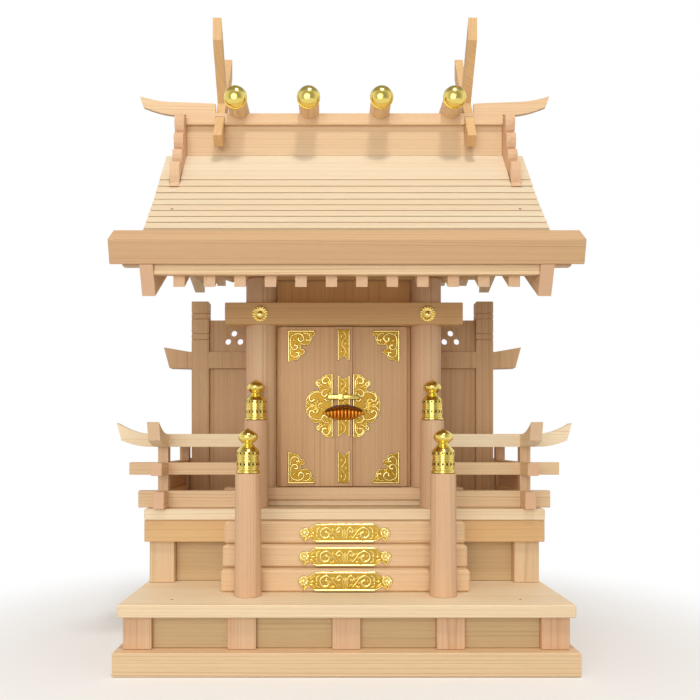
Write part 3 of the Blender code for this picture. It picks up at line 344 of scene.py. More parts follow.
# The foot and top of each pair of rails, and how far it runs out past the corner post.
LEVELS = {
    "bottom": (0.1517, 0.1707, 0.028),
    "middle": (0.1886, 0.2025, 0.038),
    "top": (0.2199, 0.2344, 0.0521),
}
POST_HEAD = 0.004
PANEL_HALF, PANEL_LET_IN = 0.002, 0.001
newel_low, newel_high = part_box("newel_rear_right")
NEWEL = (newel_low + newel_high) / 2
RAIL_GAP = 0.0003
# The side rail is a hair narrower than the front one that it crosses.
CROSSING = 0.99


def swept_rail(name, inner, outer, place, low, high, along, node):
    """A rail with a swept-up outer end. place(run, off, z) puts a point along it and off its middle."""
    start = outer - SWEEP_START
    lower, upper = [(inner, low)], [(inner, high)]
    for index in range(11):
        part = index / 10
        lower.append((start + part * (outer - UNDERCUT - start), low + 0.58 * SWEEP * part**2))
        upper.append((start + part * (outer - start), high + SWEEP * part**2))
    bm = bmesh.new()
    outline = lower + upper[::-1]
    sides = []
    for off in (-TOP_RAIL / 2, TOP_RAIL / 2):
        sides.append([bm.verts.new(place(run, off, z)) for run, z in outline])
    bm.faces.new(sides[0])
    bm.faces.new(sides[1][::-1])
    for index in range(len(outline)):
        after = (index + 1) % len(outline)
        bm.faces.new((sides[0][index], sides[0][after], sides[1][after], sides[1][index]))
    long_edges = [edge for edge in bm.edges if edge.calc_face_angle(0) > 1.0]
    eased(bm, long_edges, TOP_ROUND, 4, clamp=True)
    keep(name, bm, planed_cypress(name, along, PALE), "shrine", (node,), 40)


cuts = itertools.count(83)
for hand, sign in (("left", -1), ("right", 1)):
    node = f"railing_{hand}"
    tail = RAIL_REAR + RAIL_POST / 2 + RAIL / 2
    for end, y in (("corner", NEWEL.y), ("rear", RAIL_REAR)):
        xs = sorted((sign * RAIL_X - RAIL_POST / 2, sign * RAIL_X + RAIL_POST / 2))
        foot, head = LEVELS["bottom"][0], LEVELS["top"][0] + POST_HEAD
        ends = (xs[0], y - RAIL_POST / 2, foot), (xs[1], y + RAIL_POST / 2, head)
        plank(f"{node}_{end}_post", *ends, UP, ROSY, node)
    inner = newel_high.x + RAIL_GAP
    for level in ("bottom", "middle"):
        low_z, high_z, out = LEVELS[level]
        xs = sorted((sign * inner, sign * (RAIL_X + out)))
        ends = (xs[0], NEWEL.y - RAIL / 2, low_z), (xs[1], NEWEL.y + RAIL / 2, high_z)
        plank(f"{node}_{level}_front", *ends, ACROSS, HONEY, node)
        xs = sorted((sign * (RAIL_X - RAIL / 2 + JOINT), sign * (RAIL_X + RAIL / 2 - JOINT)))
        ends = (xs[0], NEWEL.y - out, low_z + JOINT), (xs[1], tail, high_z - JOINT)
        plank(f"{node}_{level}_side", *ends, BACK, HONEY, node)
    foot, head = LEVELS["bottom"][1] - PANEL_LET_IN, LEVELS["middle"][0] + PANEL_LET_IN
    ends = (sign * RAIL_X - PANEL_HALF, NEWEL.y, foot), (sign * RAIL_X + PANEL_HALF, RAIL_REAR, head)
    plank(f"{node}_panel", *ends, BACK, ROSY, node, 0.0002)
    low_z, high_z, out = LEVELS["top"]

    def along_front(run, off, z, sign=sign):
        """A point of the rail that runs across the front."""
        return (sign * run, NEWEL.y + off, z)

    def along_side(run, off, z, sign=sign, tail=tail):
        """A point of the rail that runs to the front from the back."""
        return (sign * RAIL_X + off * CROSSING, tail - run, z)

    swept_rail(f"{node}_top_front", inner, RAIL_X + out, along_front, low_z, high_z, ACROSS, node)
    run_length = tail - NEWEL.y + out
    swept_rail(f"{node}_top_side", 0, run_length, along_side, low_z + JOINT, high_z - JOINT, BACK, node)

# The floors, columns and cross boards of the hall. Turned cypress columns stand on a thin floor board, and a
# sill and a lintel clasp the front pair. Purlins with boat-shaped undersides lie on the columns' heads.
cuts = itertools.count(4)
dress(ACROSS, PALE, "hall_floor", "inner_floor")
cuts = itertools.count(13)
dress(UP, ROSY, "column_front_left", "column_front_right", "column_rear_left", "column_rear_right")
dress(ACROSS, HONEY, "sill")
# The lintel and purlins take the amber tone, painted shade under the eave.
dress(ACROSS, AMBER, "lintel", "purlin_front", "purlin_rear")

# The walls and wings of the hall: upright boards of cypress let in between the columns, and at either side a
# screen with a grooved post, a swept bar and a pierced panel, all glued. Their darker tone is painted shade.
# A darker tone that paints shade: on the recessed walls and wings, on the fascia, which faces a little down,
# and on the right door leaf, which is kept darker than the left.
SHADED = ("#CFA97D", "#B78D60", "#CBA379", "#BC8F63")
cuts = itertools.count(24)
dress(UP, SHADED, "wall_left", "wall_right", "wall_back", "wing_left", "wing_right")

# The doors and their frame. Each leaf is one upright cypress board that turns on wooden pins, the right one
# with a cover strip over the seam. The frame is one board with the doorway cut through it.
DOOR_WOOD = ("#D6AE80", "#BE9464", "#D0A477", "#B88456")
# A warmer, darker tone for the frame, painting the warm orange shade of the panel set deep above the doors.
FRAME_WARM_SHADE = ("#E4B67A", "#CB985C", "#E0B074", "#CF9A60")
cuts = itertools.count(21)
dress(UP, DOOR_WOOD, "door_left")
# The right leaf takes the darker tone, painted shade.
dress(UP, SHADED, "door_right")
dress(UP, FRAME_WARM_SHADE, "door_frame")

# The corner plates of the doors, of thin brass pressed into arabesque scrolls with a raised rim, gilt, and
# nailed on. Scrolls climb each arm from the corner, and the inner edge is scalloped.
# The relief and the plate's ground are one gilded brass in two copies: the relief's paler gold is painted
# highlight, the ground's darker gold painted shade, and the ground is also a little less polished.
RELIEF_PAINTED_HIGHLIGHT = gilded("gilded_brass_relief_painted_highlight", "#F8E69C", 0.22)
SATIN_AND_PAINTED_SHADE = gilded("gilded_brass_satin_and_painted_shade", "#94722A", 0.34)
PLATE = 0.0007
PIN = 0.0003
RIM_INSET, RIM_WIDTH, RIM_RISE = 0.0007, 0.0011, 0.0010
EDGE_ROUND = 0.00018
SUNK = 0.0001
ACROSS_BEAD = [(-1.0, 0.0), (-0.88, 0.5), (-0.5, 0.9), (0.0, 1.0), (0.5, 0.9), (0.88, 0.5), (1.0, 0.0)]
ACROSS_LEAF = [(-1, 0), (-0.75, 0.7), (-0.3, 1.0), (0, 0.5), (0.3, 1.0), (0.75, 0.7), (1, 0)]
STEM_RISE, LEAF_RISE = 0.0015, 0.0012


def millimetres(points):
    """Points given in millimetres as metres, with the mark of a sharp corner kept."""
    return [(point[0] / 1000, point[1] / 1000, *point[2:]) for point in points]


def smooth_line(points, steps=6, closed=False):
    """A rounded line through points (across, up), with a sharp corner where a point has a third value."""
    count = len(points)
    line = []
    for index in range(count if closed else count - 1):
        p1, p2 = points[index], points[(index + 1) % count]
        p0 = p1 if len(p1) > 2 or (not closed and index == 0) else points[index - 1]
        p3 = p2 if len(p2) > 2 or (not closed and index == count - 2) else points[(index + 2) % count]
        straight = len(p1) > 2 and len(p2) > 2
        for step in range(1 if straight else steps):
            t = step / steps
            weights = (-t + 2 * t**2 - t**3, 2 - 5 * t**2 + 3 * t**3, t + 4 * t**2 - 3 * t**3, t**3 - t**2)
            near = (p0, p1, p2, p3)
            line.append(tuple(sum(share * p[axis] for share, p in zip(weights, near)) / 2 for axis in (0, 1)))
    if not closed:
        line.append(tuple(points[-1][:2]))
    return line


def turned_in(outline, inset):
    """An outline moved inward by an inset, corner by corner."""
    count = len(outline)
    area = sum(a[0] * b[1] - b[0] * a[1] for a, b in zip(outline, outline[1:] + outline[:1]))
    moved = []
    for index in range(count):
        before, here, after = (Vector(outline[(index + step) % count]) for step in (-1, 0, 1))
        first, second = (here - before).normalized(), (after - here).normalized()
        inward = Vector((-first.y - second.y, first.x + second.x)) * (1 if area > 0 else -1)
        spread = max(inward.length / 2, 0.5)
        moved.append(tuple(here + inward.normalized() * inset / spread))
    return moved


def strip_of_faces(bm, rows, closed=False):
    """Joins rows of points, each running across a ridge that lies on a plate, and closes its underside."""
    for index in range(len(rows) if closed else len(rows) - 1):
        first, second = rows[index], rows[(index + 1) % len(rows)]
        for step in range(len(first)):
            after = (step + 1) % len(first)
            bm.faces.new((first[step], first[after], second[after], second[step]))
    if not closed:
        bm.faces.new(rows[0][::-1])
        bm.faces.new(rows[-1])


def slab(bm, outline, place):
    """The plate itself, over an outline. place(across, up, height) puts a point over the face below."""
    foot = [bm.verts.new(place(*spot, 0)) for spot in outline]
    edge = [bm.verts.new(place(*spot, PLATE - EDGE_ROUND)) for spot in outline]
    top = [bm.verts.new(place(*spot, PLATE)) for spot in turned_in(outline, EDGE_ROUND)]
    for lower, upper in ((foot, edge), (edge, top)):
        for index in range(len(outline)):
            after = (index + 1) % len(outline)
            bm.faces.new((lower[index], lower[after], upper[after], upper[index]))
    ends = [bm.faces.new(top), bm.faces.new(foot[::-1])]
    bm.normal_update()
    bmesh.ops.triangulate(bm, faces=ends, ngon_method="EAR_CLIP")


def bead(bm, line, place, width, rise, closed=False, taper=(1.0, 1.0)):
    """A rounded ridge along a line. taper gives its first and last share of the width."""
    count = len(line)
    rows = []
    for index in range(count):
        here = Vector(line[index])
        before = Vector(line[index - 1]) if index or closed else here
        after = Vector(line[(index + 1) % count]) if index < count - 1 or closed else here
        heading = (after - before).normalized()
        side = Vector((-heading.y, heading.x))
        share = taper[0] + (taper[1] - taper[0]) * index / max(count - 1, 1)
        crown = rise * (0.4 + 0.6 * share) + SUNK
        row = []
        for across, up in ACROSS_BEAD:
            spot = here + side * across * width / 2 * share
            row.append(bm.verts.new(place(spot.x, spot.y, PLATE - SUNK + crown * up)))
        rows.append(row)
    strip_of_faces(bm, rows, closed)


def stud(bm, centre, radius, place, rise, level=PLATE, petals=0):
    """A round boss: plain and domed, or petals round a domed middle."""
    segments = petals * 8 if petals else 18
    rows = [(1.0, 0.0), (0.97, 0.4), (0.8, 0.78), (0.5, 0.96), (0.0, 1.0)]
    if petals:
        rows = [(1.0, 0.0), (0.98, 0.5), (0.85, 0.95), (0.6, 0.85), (0.40, 0.35), (0.36, 0.3)]
        rows += [(0.34, 0.9), (0.28, 1.15), (0.15, 1.3), (0.0, 1.35)]
    rings = []
    for reach, up in rows:
        ring = []
        for index in range(segments if reach else 1):
            turn = 2 * math.pi * index / segments
            wave = abs(math.cos(petals * turn / 2)) if petals and reach > 0.38 else 1.0
            span = radius * reach * (0.91 + 0.09 * wave)
            lift = (rise + SUNK) * up * (0.4 + 0.6 * wave)
            spot = (centre[0] + span * math.cos(turn), centre[1] + span * math.sin(turn))
            ring.append(bm.verts.new(place(*spot, level - SUNK + lift)))
        rings.append(ring)
    for lower, upper in zip(rings, rings[1:]):
        for index in range(segments):
            after = (index + 1) % segments
            corners = [lower[index], lower[after]]
            corners += [upper[0]] if len(upper) == 1 else [upper[after], upper[index]]
            bm.faces.new(corners)
    bm.faces.new(rings[0][::-1])


def stem(bm, points, place, width=2.0, eye=True):
    """A stem of the arabesque through points in millimetres. It starts thin and curls round into an eye."""
    bead(bm, smooth_line(millimetres(points)), place, 1.5 * width / 1000, STEM_RISE, taper=(0.45, 1.0))
    if eye:
        stud(bm, (points[-1][0] / 1000, points[-1][1] / 1000), 0.00078 * width, place, STEM_RISE)


def leaf(bm, root, tip, width, place, bend=0.0):
    """A pointed leaf with a vein, from its root to its tip in millimetres, bent sideways by a share."""
    root, tip = Vector(root) / 1000, Vector(tip) / 1000
    heading = tip - root
    side = Vector((-heading.y, heading.x)).normalized()
    rows = []
    for index in range(9):
        part = index / 8
        swell = math.sin(math.pi * min(0.06 + 0.94 * part, 0.99)) ** 0.8
        middle = root + heading * part + side * bend * heading.length * math.sin(math.pi * part)
        crown = (LEAF_RISE + SUNK) * (0.3 + 0.7 * swell)
        row = []
        for across, up in ACROSS_LEAF:
            spot = middle + side * across * swell * width / 2000
            row.append(bm.verts.new(place(spot.x, spot.y, PLATE - SUNK + crown * up)))
        rows.append(row)
    strip_of_faces(bm, rows)


def fitting(name, points, place, body, draw, ground=SATIN_AND_PAINTED_SHADE):
    """A plate with a rim all round and the relief that draw adds, as two pieces of different polish and
    colour:
    the ground's darker gold is painted shade and the relief's paler gold painted highlight.
    """
    outline = smooth_line(millimetres(points), 5, True)
    bm = bmesh.new()
    slab(bm, outline, place)
    keep(f"{name}_plate", bm, ground, body)
    bm = bmesh.new()
    bead(bm, turned_in(outline, RIM_INSET), place, RIM_WIDTH, RIM_RISE, closed=True)
    draw(bm, place)
    keep(f"{name}_relief", bm, RELIEF_PAINTED_HIGHLIGHT, body, smooth=50)


DOOR_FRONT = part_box("door_left")[0].y
# How far out the plates' outer edges stand, then their outline in millimetres.
CORNER_X = 0.0657
CORNER = [(0.2, 0.3, 1), (32.3, 0.4, 1), (31.8, 6.2), (29.2, 7.6, 1), (28.4, 12.2), (25.6, 16.4)]
CORNER += [(22.1, 18.4), (18.4, 16.6), (15.9, 18.0), (16.0, 21.4), (19.9, 23.0), (20.6, 26.1)]
CORNER += [(18.4, 28.8), (15.6, 29.4, 1), (14.4, 32.6), (10.8, 35.4, 1), (6.4, 35.8), (1.2, 37.8)]
CORNER += [(0.2, 37.8, 1)]


def corner_relief(bm, place):
    """Two straight rims from the corner, four stems and nine leaves."""
    for end in ((30.9, 1.35), (1.35, 36.2)):
        bead(bm, millimetres([(1.35, 1.35), end]), place, 0.0021, 0.0013)
    longest = [(3.6, 13.4), (4.6, 7.4), (9.4, 4.6), (15.2, 4.8)]
    longest += [(18.9, 8.4), (17.3, 12.6), (13.6, 12.6), (12.9, 9.6)]
    for points, width in (
        (longest, 2.0),
        ([(18.6, 4.2), (23.4, 4.3), (26.4, 7.6), (25.4, 11.8), (22.2, 11.4)], 1.9),
        ([(3.6, 11.4), (3.9, 18.4), (6.8, 22.6), (11.0, 21.8), (11.4, 18.2), (8.9, 17.6)], 2.0),
        ([(3.8, 22.0), (4.2, 28.4), (7.8, 31.6), (12.4, 30.2), (13.2, 26.8), (10.6, 26.2)], 1.9),
    ):
        stem(bm, points, place, width)
    for root, tip, width, bend in (
        ((14.6, 14.8), (22.4, 16.2), 3.2, 0.12),
        ((12.0, 24.0), (18.6, 25.6), 3.2, 0.12),
        ((25.2, 3.9), (30.2, 4.6), 2.2, 0.10),
        ((4.2, 31.2), (9.6, 34.0), 2.2, -0.1),
        ((6.2, 9.0), (10.6, 13.8), 2.6, 0.15),
        ((20.2, 9.4), (23.0, 15.2), 2.2, -0.1),
        ((27.4, 8.6), (26.6, 13.6), 1.8, 0.05),
        ((3.0, 3.2), (6.4, 5.4), 1.9, 0.0),
        ((12.8, 19.4), (14.8, 22.0), 1.9, 0.0),
    ):
        leaf(bm, root, tip, width, place, bend)


for hand, sign in (("left", -1), ("right", 1)):
    # The height of each plate's outer edge, and which way the plate runs from it.
    for end, edge_z, turn in (("top", 0.3562, 1), ("bottom", 0.1764, -1)):

        def on_door(across, down, height, sign=sign, edge_z=edge_z, turn=turn):
            """A point over the leaf, from its outer edge inward and from its end to the middle."""
            return (sign * (CORNER_X - across), DOOR_FRONT - PIN - height, edge_z - turn * down)

        fitting(f"corner_{end}_{hand}", CORNER, on_door, f"door_{hand}", corner_relief)

# The three plates on the cover strip, pressed and nailed like those of the corners. Their ends toward each
# other are notched, and one winding stem with buds and leaves runs between two bright rims.
STRIP_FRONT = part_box("door_right")[0].y
STRIP_HALF = 7.4
# The heights of each plate's top and bottom, and whether those ends are notched.
for name, top, bottom, notched in (
    ("top", 0.3562, 0.3202, (False, True)),
    ("centre", 0.3032, 0.2312, (True, True)),
    ("bottom", 0.2150, 0.1777, (True, False)),
):
    length = (top - bottom) * 1000
    points = [(-STRIP_HALF, 0, 1)]
    if notched[0]:
        points += [(-4.6, 1.0), (-2.0, 3.4), (0, 4.4), (2.0, 3.4), (4.6, 1.0)]
    points += [(STRIP_HALF, 0, 1), (STRIP_HALF, length, 1)]
    if notched[1]:
        points += [(4.6, length - 1.0), (2.0, length - 3.4), (0, length - 4.4)]
        points += [(-2.0, length - 3.4), (-4.6, length - 1.0)]
    points += [(-STRIP_HALF, length, 1)]

    def on_strip(across, down, height, top=top):
        """A point over the strip, down from the plate's top."""
        return (across, STRIP_FRONT - PIN - height, top - down)

    def strip_relief(bm, place, length=length, notched=notched):
        """A bright rim along each side, and between them the winding stem with its buds and leaves."""
        for side in (-1, 1):
            bead(bm, millimetres([(side * 6.3, 1.4), (side * 6.3, length - 1.4)]), place, 0.0016, 0.0013)
        start, end = (6.0 if notched[0] else 3.0), length - (6.0 if notched[1] else 3.0)
        bends = max(2, round((end - start) / 9))
        pitch = (end - start) / bends
        runs = [step / 6 for step in range(6 * bends + 1)]
        winding = [(2.3 * math.sin(math.pi * run), start + pitch * run) for run in runs]
        bead(bm, smooth_line(millimetres(winding), 2), place, 0.0017, 0.0012, taper=(0.7, 0.7))
        for index in range(bends):
            side = 1 if index % 2 else -1
            middle = start + pitch * (index + 0.5)
            stud(bm, (side * 0.0026, middle / 1000), 0.0013, place, 0.0015)
            leaf(bm, (side * 0.8, middle - 2.8), (side * 4.9, middle - 2.4), 2.0, place, side * 0.15)
            leaf(bm, (side * 0.8, middle + 2.8), (side * 4.9, middle + 2.4), 2.0, place, -side * 0.15)

    fitting(f"strip_{name}", points, on_strip, "door_right", strip_relief)

# The roundel round the lock, in two pressed and gilt halves, one nailed to each door. Curls fill its outer
# lobes and a fan of petals its side. The right half stands closer to the strip.
HALF_ROUNDEL = [(12.3, 37.4, 1), (16.6, 37.0), (21.0, 36.6), (25.2, 34.2), (26.6, 31.4, 1), (30.6, 30.8)]
HALF_ROUNDEL += [(33.2, 27.4), (32.2, 23.2), (29.0, 20.6), (28.6, 17.8, 1), (33.6, 17.8), (38.2, 16.6)]
HALF_ROUNDEL += [(40.4, 13.4), (43.4, 9.4), (44.8, 3.0), (44.7, -3.4), (43.2, -9.4), (40.2, -13.4)]
HALF_ROUNDEL += [(38.2, -17.4), (33.8, -20.6), (28.6, -19.4, 1), (30.2, -22.6), (32.2, -25.6), (30.8, -28.6)]
HALF_ROUNDEL += [(26.6, -30.2, 1), (25.0, -33.6), (20.2, -36.6), (12.3, -37.2, 1)]
# The middle of the fan, in millimetres, and the height of the roundel's middle.
FAN = Vector((26.0, 0))
ROUNDEL_Z = 0.2676


def roundel_relief(bm, place):
    """A rim along the straight edge, five petals round a bow, and curls and leaves above and below them."""
    bead(bm, millimetres([(13.4, 36.0), (13.4, -35.8)]), place, 0.0020, 0.0013)
    for index in range(5):
        turn = math.radians(-56 + index * 28)
        reach = Vector((math.cos(turn), math.sin(turn)))
        leaf(bm, FAN + reach * 3.6, FAN + reach * 12.6, 3.4, place)
    turns = [math.radians(turn) for turn in range(-110, 111, 20)]
    bow = [(FAN.x + 3.2 * math.cos(turn), 3.2 * math.sin(turn)) for turn in turns]
    stem(bm, bow, place, 1.5, False)
    for side in (-1, 1):

        def flipped(points, side=side):
            """The same points above or below the middle."""
            return [(across, side * up) for across, up in points]

        for points, width in (
            ([(16.0, 21.0), (15.6, 28.4), (19.0, 33.6), (24.0, 31.6), (24.4, 27.2), (20.8, 26.4)], 2.1),
            ([(21.6, 21.6), (26.6, 24.4), (30.2, 28.2), (31.0, 25.0), (28.6, 23.4)], 1.8),
            ([(17.0, 19.6), (22.6, 18.8), (25.6, 14.4), (22.8, 11.0), (19.4, 13.2)], 2.0),
            ([(16.2, 16.0), (15.6, 9.4), (18.4, 5.4), (21.4, 7.4)], 1.9),
            ([(25.8, 15.8), (31.8, 15.9), (37.6, 13.6), (40.2, 8.6), (37.6, 5.2), (34.6, 7.4)], 2.0),
            ([(35.0, 1.6), (39.6, 1.2), (42.2, 4.6)], 1.6),
        ):
            stem(bm, flipped(points), place, width)
        for root, tip, width, bend in (
            ((16.6, 34.6), (22.6, 35.0), 2.0, 0.05),
            ((17.6, 22.8), (19.4, 31.0), 2.4, 0.10),
            ((15.8, 17.6), (20.4, 16.4), 2.2, 0.0),
            ((24.6, 20.0), (29.4, 21.8), 2.2, 0.1),
        ):
            leaf(bm, (root[0], side * root[1]), (tip[0], side * tip[1]), width, place, side * bend)


for hand, sign, shift in (("left", -1, 0), ("right", 1, 0.0018)):

    def on_leaf(across, up, height, sign=sign, shift=shift):
        """A point over the leaf, out from the seam and up from the roundel's middle."""
        return (sign * across - shift, DOOR_FRONT - PIN - height, ROUNDEL_Z + up)

    fitting(f"roundel_{hand}", HALF_ROUNDEL, on_leaf, f"door_{hand}", roundel_relief)

# The lock on the right door, of gilded brass: a bar through a square boss, and hung under it a ribbed padlock
# like a half moon, with a band of dark red lacquer along its bowed top.
AMBER_GILT = gilded("gilded_brass_amber", "#DFA94A", 0.24)
LOCK_FACE = STRIP_FRONT - 0.0016
bm = bmesh.new()
block(bm, (-0.0188, LOCK_FACE - 0.0038, 0.2748), (0.0178, LOCK_FACE, 0.2803), 0.0013, 3)
block(bm, (-0.0066, LOCK_FACE - 0.0052, 0.2741), (0.0002, LOCK_FACE, 0.2810), 0.0007, 3)
keep("lock_bar", bm, POLISHED, "door_right", ("lock",), 40)

HALF_MOON, RIBS, STEPS_A_RIB = 0.0247, 12, 8
BAND_HALF, BAND_DEEP, BAND_THICK = 0.0215, 0.0016, 0.0012


def plain(name, colour, roughness):
    """An even finish with no grain."""
    material = bpy.data.materials.new(name)
    material.use_nodes = True
    shader = material.node_tree.nodes["Principled BSDF"]
    shader.inputs["Base Color"].default_value = linear(colour)
    shader.inputs["Roughness"].default_value = roughness
    return material


def moon(x):
    """The top and foot of the half moon at a place along it, and how far it bulges to the front."""
    part = abs(x / HALF_MOON)
    return 0.2672 - 0.0078 * part**2.2, 0.2506 + 0.0085 * part**2.4, 0.0012 + 0.0050 * (1 - part**2.6)


bm = bmesh.new()
rows = []
steps = RIBS * STEPS_A_RIB
for index in range(steps + 1):
    x = HALF_MOON * (2 * index / steps - 1)
    top, foot, bulge = moon(x)
    bulge *= 0.35 + 0.65 * abs(math.sin(math.pi * RIBS * index / steps)) ** 0.8
    middle, half = (top + foot) / 2, (top - foot) / 2
    row = []
    for step in range(9):
        turn = math.pi * step / 8
        y = LOCK_FACE - 0.0002 - bulge * math.sin(turn)
        row.append(bm.verts.new((x, y, middle + half * math.cos(turn))))
    rows.append(row)
strip_of_faces(bm, rows)
keep("lock_half_moon", bm, AMBER_GILT, "door_right", ("lock",), 60)

bm = bmesh.new()
rows = []
for index in range(33):
    x = BAND_HALF * (index / 16 - 1)
    top, foot, bulge = moon(x)
    row = []
    for step in range(10):
        turn = 2 * math.pi * step / 10
        y = LOCK_FACE - BAND_DEEP - bulge * 0.62 + BAND_DEEP * math.sin(turn)
        row.append(bm.verts.new((x, y, top + BAND_THICK * math.cos(turn))))
    rows.append(row)
strip_of_faces(bm, rows)
LACQUER = plain("dark_red_lacquer", "#5C2412", 0.32)
keep("lock_band", bm, LACQUER, "door_right", ("lock",), 60)

# The plates on the fronts of the steps, of the same pressed and gilt brass, one nailed to each board: an
# oblong between two bright rods, with leaves and a round flower at either end.
# The ground of the step plates is a lighter gold than the doors', still painted darker than the relief as
# shade.
BRIGHT_SATIN_AND_PAINTED_SHADE = gilded("gilded_brass_bright_satin_and_painted_shade", "#BF9C42", 0.32)
HALF_RISER = [(31.2, 10.4, 1), (31.6, 8.8, 1), (34.4, 8.2), (37.0, 5.8), (39.4, 5.0), (42.0, 5.6)]
HALF_RISER += [(46.0, 4.9), (48.9, 1.6), (48.7, -2.2), (46.4, -5.0), (44.6, -8.2), (42.8, -9.4, 1)]
HALF_RISER += [(41.2, -7.6), (39.0, -5.6), (36.4, -6.6), (34.0, -8.6), (31.6, -9.0, 1), (31.2, -10.6, 1)]
RISER = HALF_RISER + [(-point[0], *point[1:]) for point in HALF_RISER[::-1]]


def riser_relief(bm, place):
    """A rod above and below, a leaf in the middle, and at each side a spiral, stems, leaves and a flower."""
    for up in (9.0, -9.2):
        bead(bm, millimetres([(-31.0, up), (31.0, up)]), place, 0.0028, 0.0016)
    leaf(bm, (0, -6.4), (0, 6.2), 3.6, place)
    for side in (-1, 1):

        def flipped(points, side=side):
            """The same points to the right or left of the middle."""
            return [(side * across, up) for across, up in points]

        stud(bm, (side * 0.0432, 0.0001), 0.0055, place, 0.0014, petals=9)
        spiral = [(7.6, -5.6), (11.4, -1.4), (15.0, 3.6), (20.2, 5.8), (25.2, 3.4)]
        spiral += [(26.0, -1.6), (22.6, -5.0), (18.2, -4.2), (17.0, -0.6), (19.8, 1.0)]
        stem(bm, flipped(spiral), place, 2.2)
        hook = [(1.6, -6.2), (2.6, -1.4), (2.5, 3.0), (5.2, 5.9), (8.6, 4.2), (8.0, 1.0), (5.8, 1.6)]
        stem(bm, flipped(hook), place, 1.8)
        stem(bm, flipped([(26.6, 6.0), (29.8, 4.2), (29.8, 0.6)]), place, 1.6)
        stem(bm, flipped([(26.6, -6.0), (29.8, -5.0), (30.0, -2.4)]), place, 1.5)
        for root, tip, width, bend in (
            ((9.8, 1.6), (13.6, 6.2), 2.8, -0.1),
            ((10.6, -5.0), (16.4, -6.2), 2.6, 0.0),
            ((3.6, -6.2), (8.2, -2.4), 2.4, 0.1),
            ((13.0, -3.6), (15.6, 0.4), 2.2, 0.0),
            ((22.0, -1.6), (24.0, 2.6), 2.0, 0.0),
            ((32.0, 6.2), (38.2, 2.2), 2.9, -0.1),
            ((32.0, -6.4), (38.2, -2.6), 2.9, 0.1),
            ((31.6, 0.0), (37.6, 0.0), 2.6, 0.0),
            ((40.6, -4.8), (43.0, -8.9), 3.2, 0.0),
        ):
            leaf(bm, (side * root[0], root[1]), (side * tip[0], tip[1]), width, place, side * bend)


# The height of the middle of each plate.
for index, z in ((1, 0.0804), (2, 0.1039), (3, 0.1273)):
    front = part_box(f"step_{index}")[0].y

    def on_riser(across, up, height, front=front, z=z):
        """A point over the front of the step, out and up from the plate's middle."""
        return (across, front - PIN - height, z + up)

    fitting(f"riser_{index}", RISER, on_riser, "shrine", riser_relief, BRIGHT_SATIN_AND_PAINTED_SHADE)

# The flowers on the lintel, cast and gilt, each with sixteen petals round a domed middle. They cover the
# heads of the pins that hold the lintel to the front columns.
# The flowers are of the relief's paler gold, painted highlight.
FLOWER_X, FLOWER_Z, FLOWER_RADIUS, FLOWER_RISE = 0.0963, 0.3727, 0.00975, 0.0022
for hand, sign in (("left", -1), ("right", 1)):

    def on_lintel(across, up, height, sign=sign):
        """A point over the front of the lintel, out and up from the flower's middle."""
        return (sign * FLOWER_X + across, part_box("lintel")[0].y - PIN - height, FLOWER_Z + up)

    bm = bmesh.new()
    stud(bm, (0, 0), FLOWER_RADIUS, on_lintel, FLOWER_RISE, 0.0001, petals=16)
    keep(f"lintel_flower_{hand}", bm, RELIEF_PAINTED_HIGHLIGHT, "shrine", smooth=40)

# The roof. Rafters and gable boards of cypress are sawn to one flowing curve, thin boards run along the eave
# under the thick fascia, and wide boards lie over the rafters, the front one in stepped courses. All of it is
# glued.
ROOF = ("#E2D3B8", "#CDB48E", "#DFCAAB", "#D3B696")
cuts = itertools.count(29)
dress((0, 1, 0.6128), HONEY, "rafters_front", "bargeboard_left", "bargeboard_right")
dress((0, -1, 0.3057), HONEY, "rafters_rear")
# The fascia faces a little downward and takes the darker tone, painted shade.
dress(ACROSS, SHADED, "fascia")
dress(ACROSS, HONEY, "eave_board")
cuts = itertools.count(36)
dress(ACROSS, ROOF, "roof_front", "roof_rear")

# The plugged nails of the roof and the platform: small dark plugs of wood over the heads of the nails, two in
# the front roof board and two in the platform.
PLUG, PLUG_DEEP, PLUG_RISE = 0.0015, 0.0010, 0.00012
PLUG_WOOD = plain("nail_plug", "#8A6238", 0.6)
# Where the plugs are, out to either side and back from the middle.
for node, x, y in (("platform", 0.1735, -0.1078), ("roof_front", 0.1743, -0.1028)):
    for hand, sign in (("left", -1), ("right", 1)):
        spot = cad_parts[node].ray_cast((sign * x, y, 1.0), (0, 0, -1))[1]
        bm = bmesh.new()
        rows = [(PLUG, -PLUG_DEEP), (PLUG, 0.00004), (PLUG - 0.0002, PLUG_RISE), (0, PLUG_RISE)]
        lathe(bm, rows, spot, 24)
        keep(f"{node}_nail_{hand}", bm, PLUG_WOOD, "shrine", smooth=40)

# The ridge: a box beam of cypress with a cap board whose ends sweep up, a lobed board at each end, and two
# pairs of crossed blades, halved into each other and let into the ridge.
cuts = itertools.count(35)
dress(ACROSS, HONEY, "ridge_board")
cuts = itertools.count(38)
dress(ACROSS, STRAW, "ridge_box")
dress(UP, ROSY, "scroll_left", "scroll_right")
# The crossed blades take the amber tone, painted shade on their undersides.
dress(UP, AMBER, "cross_left", "cross_right")

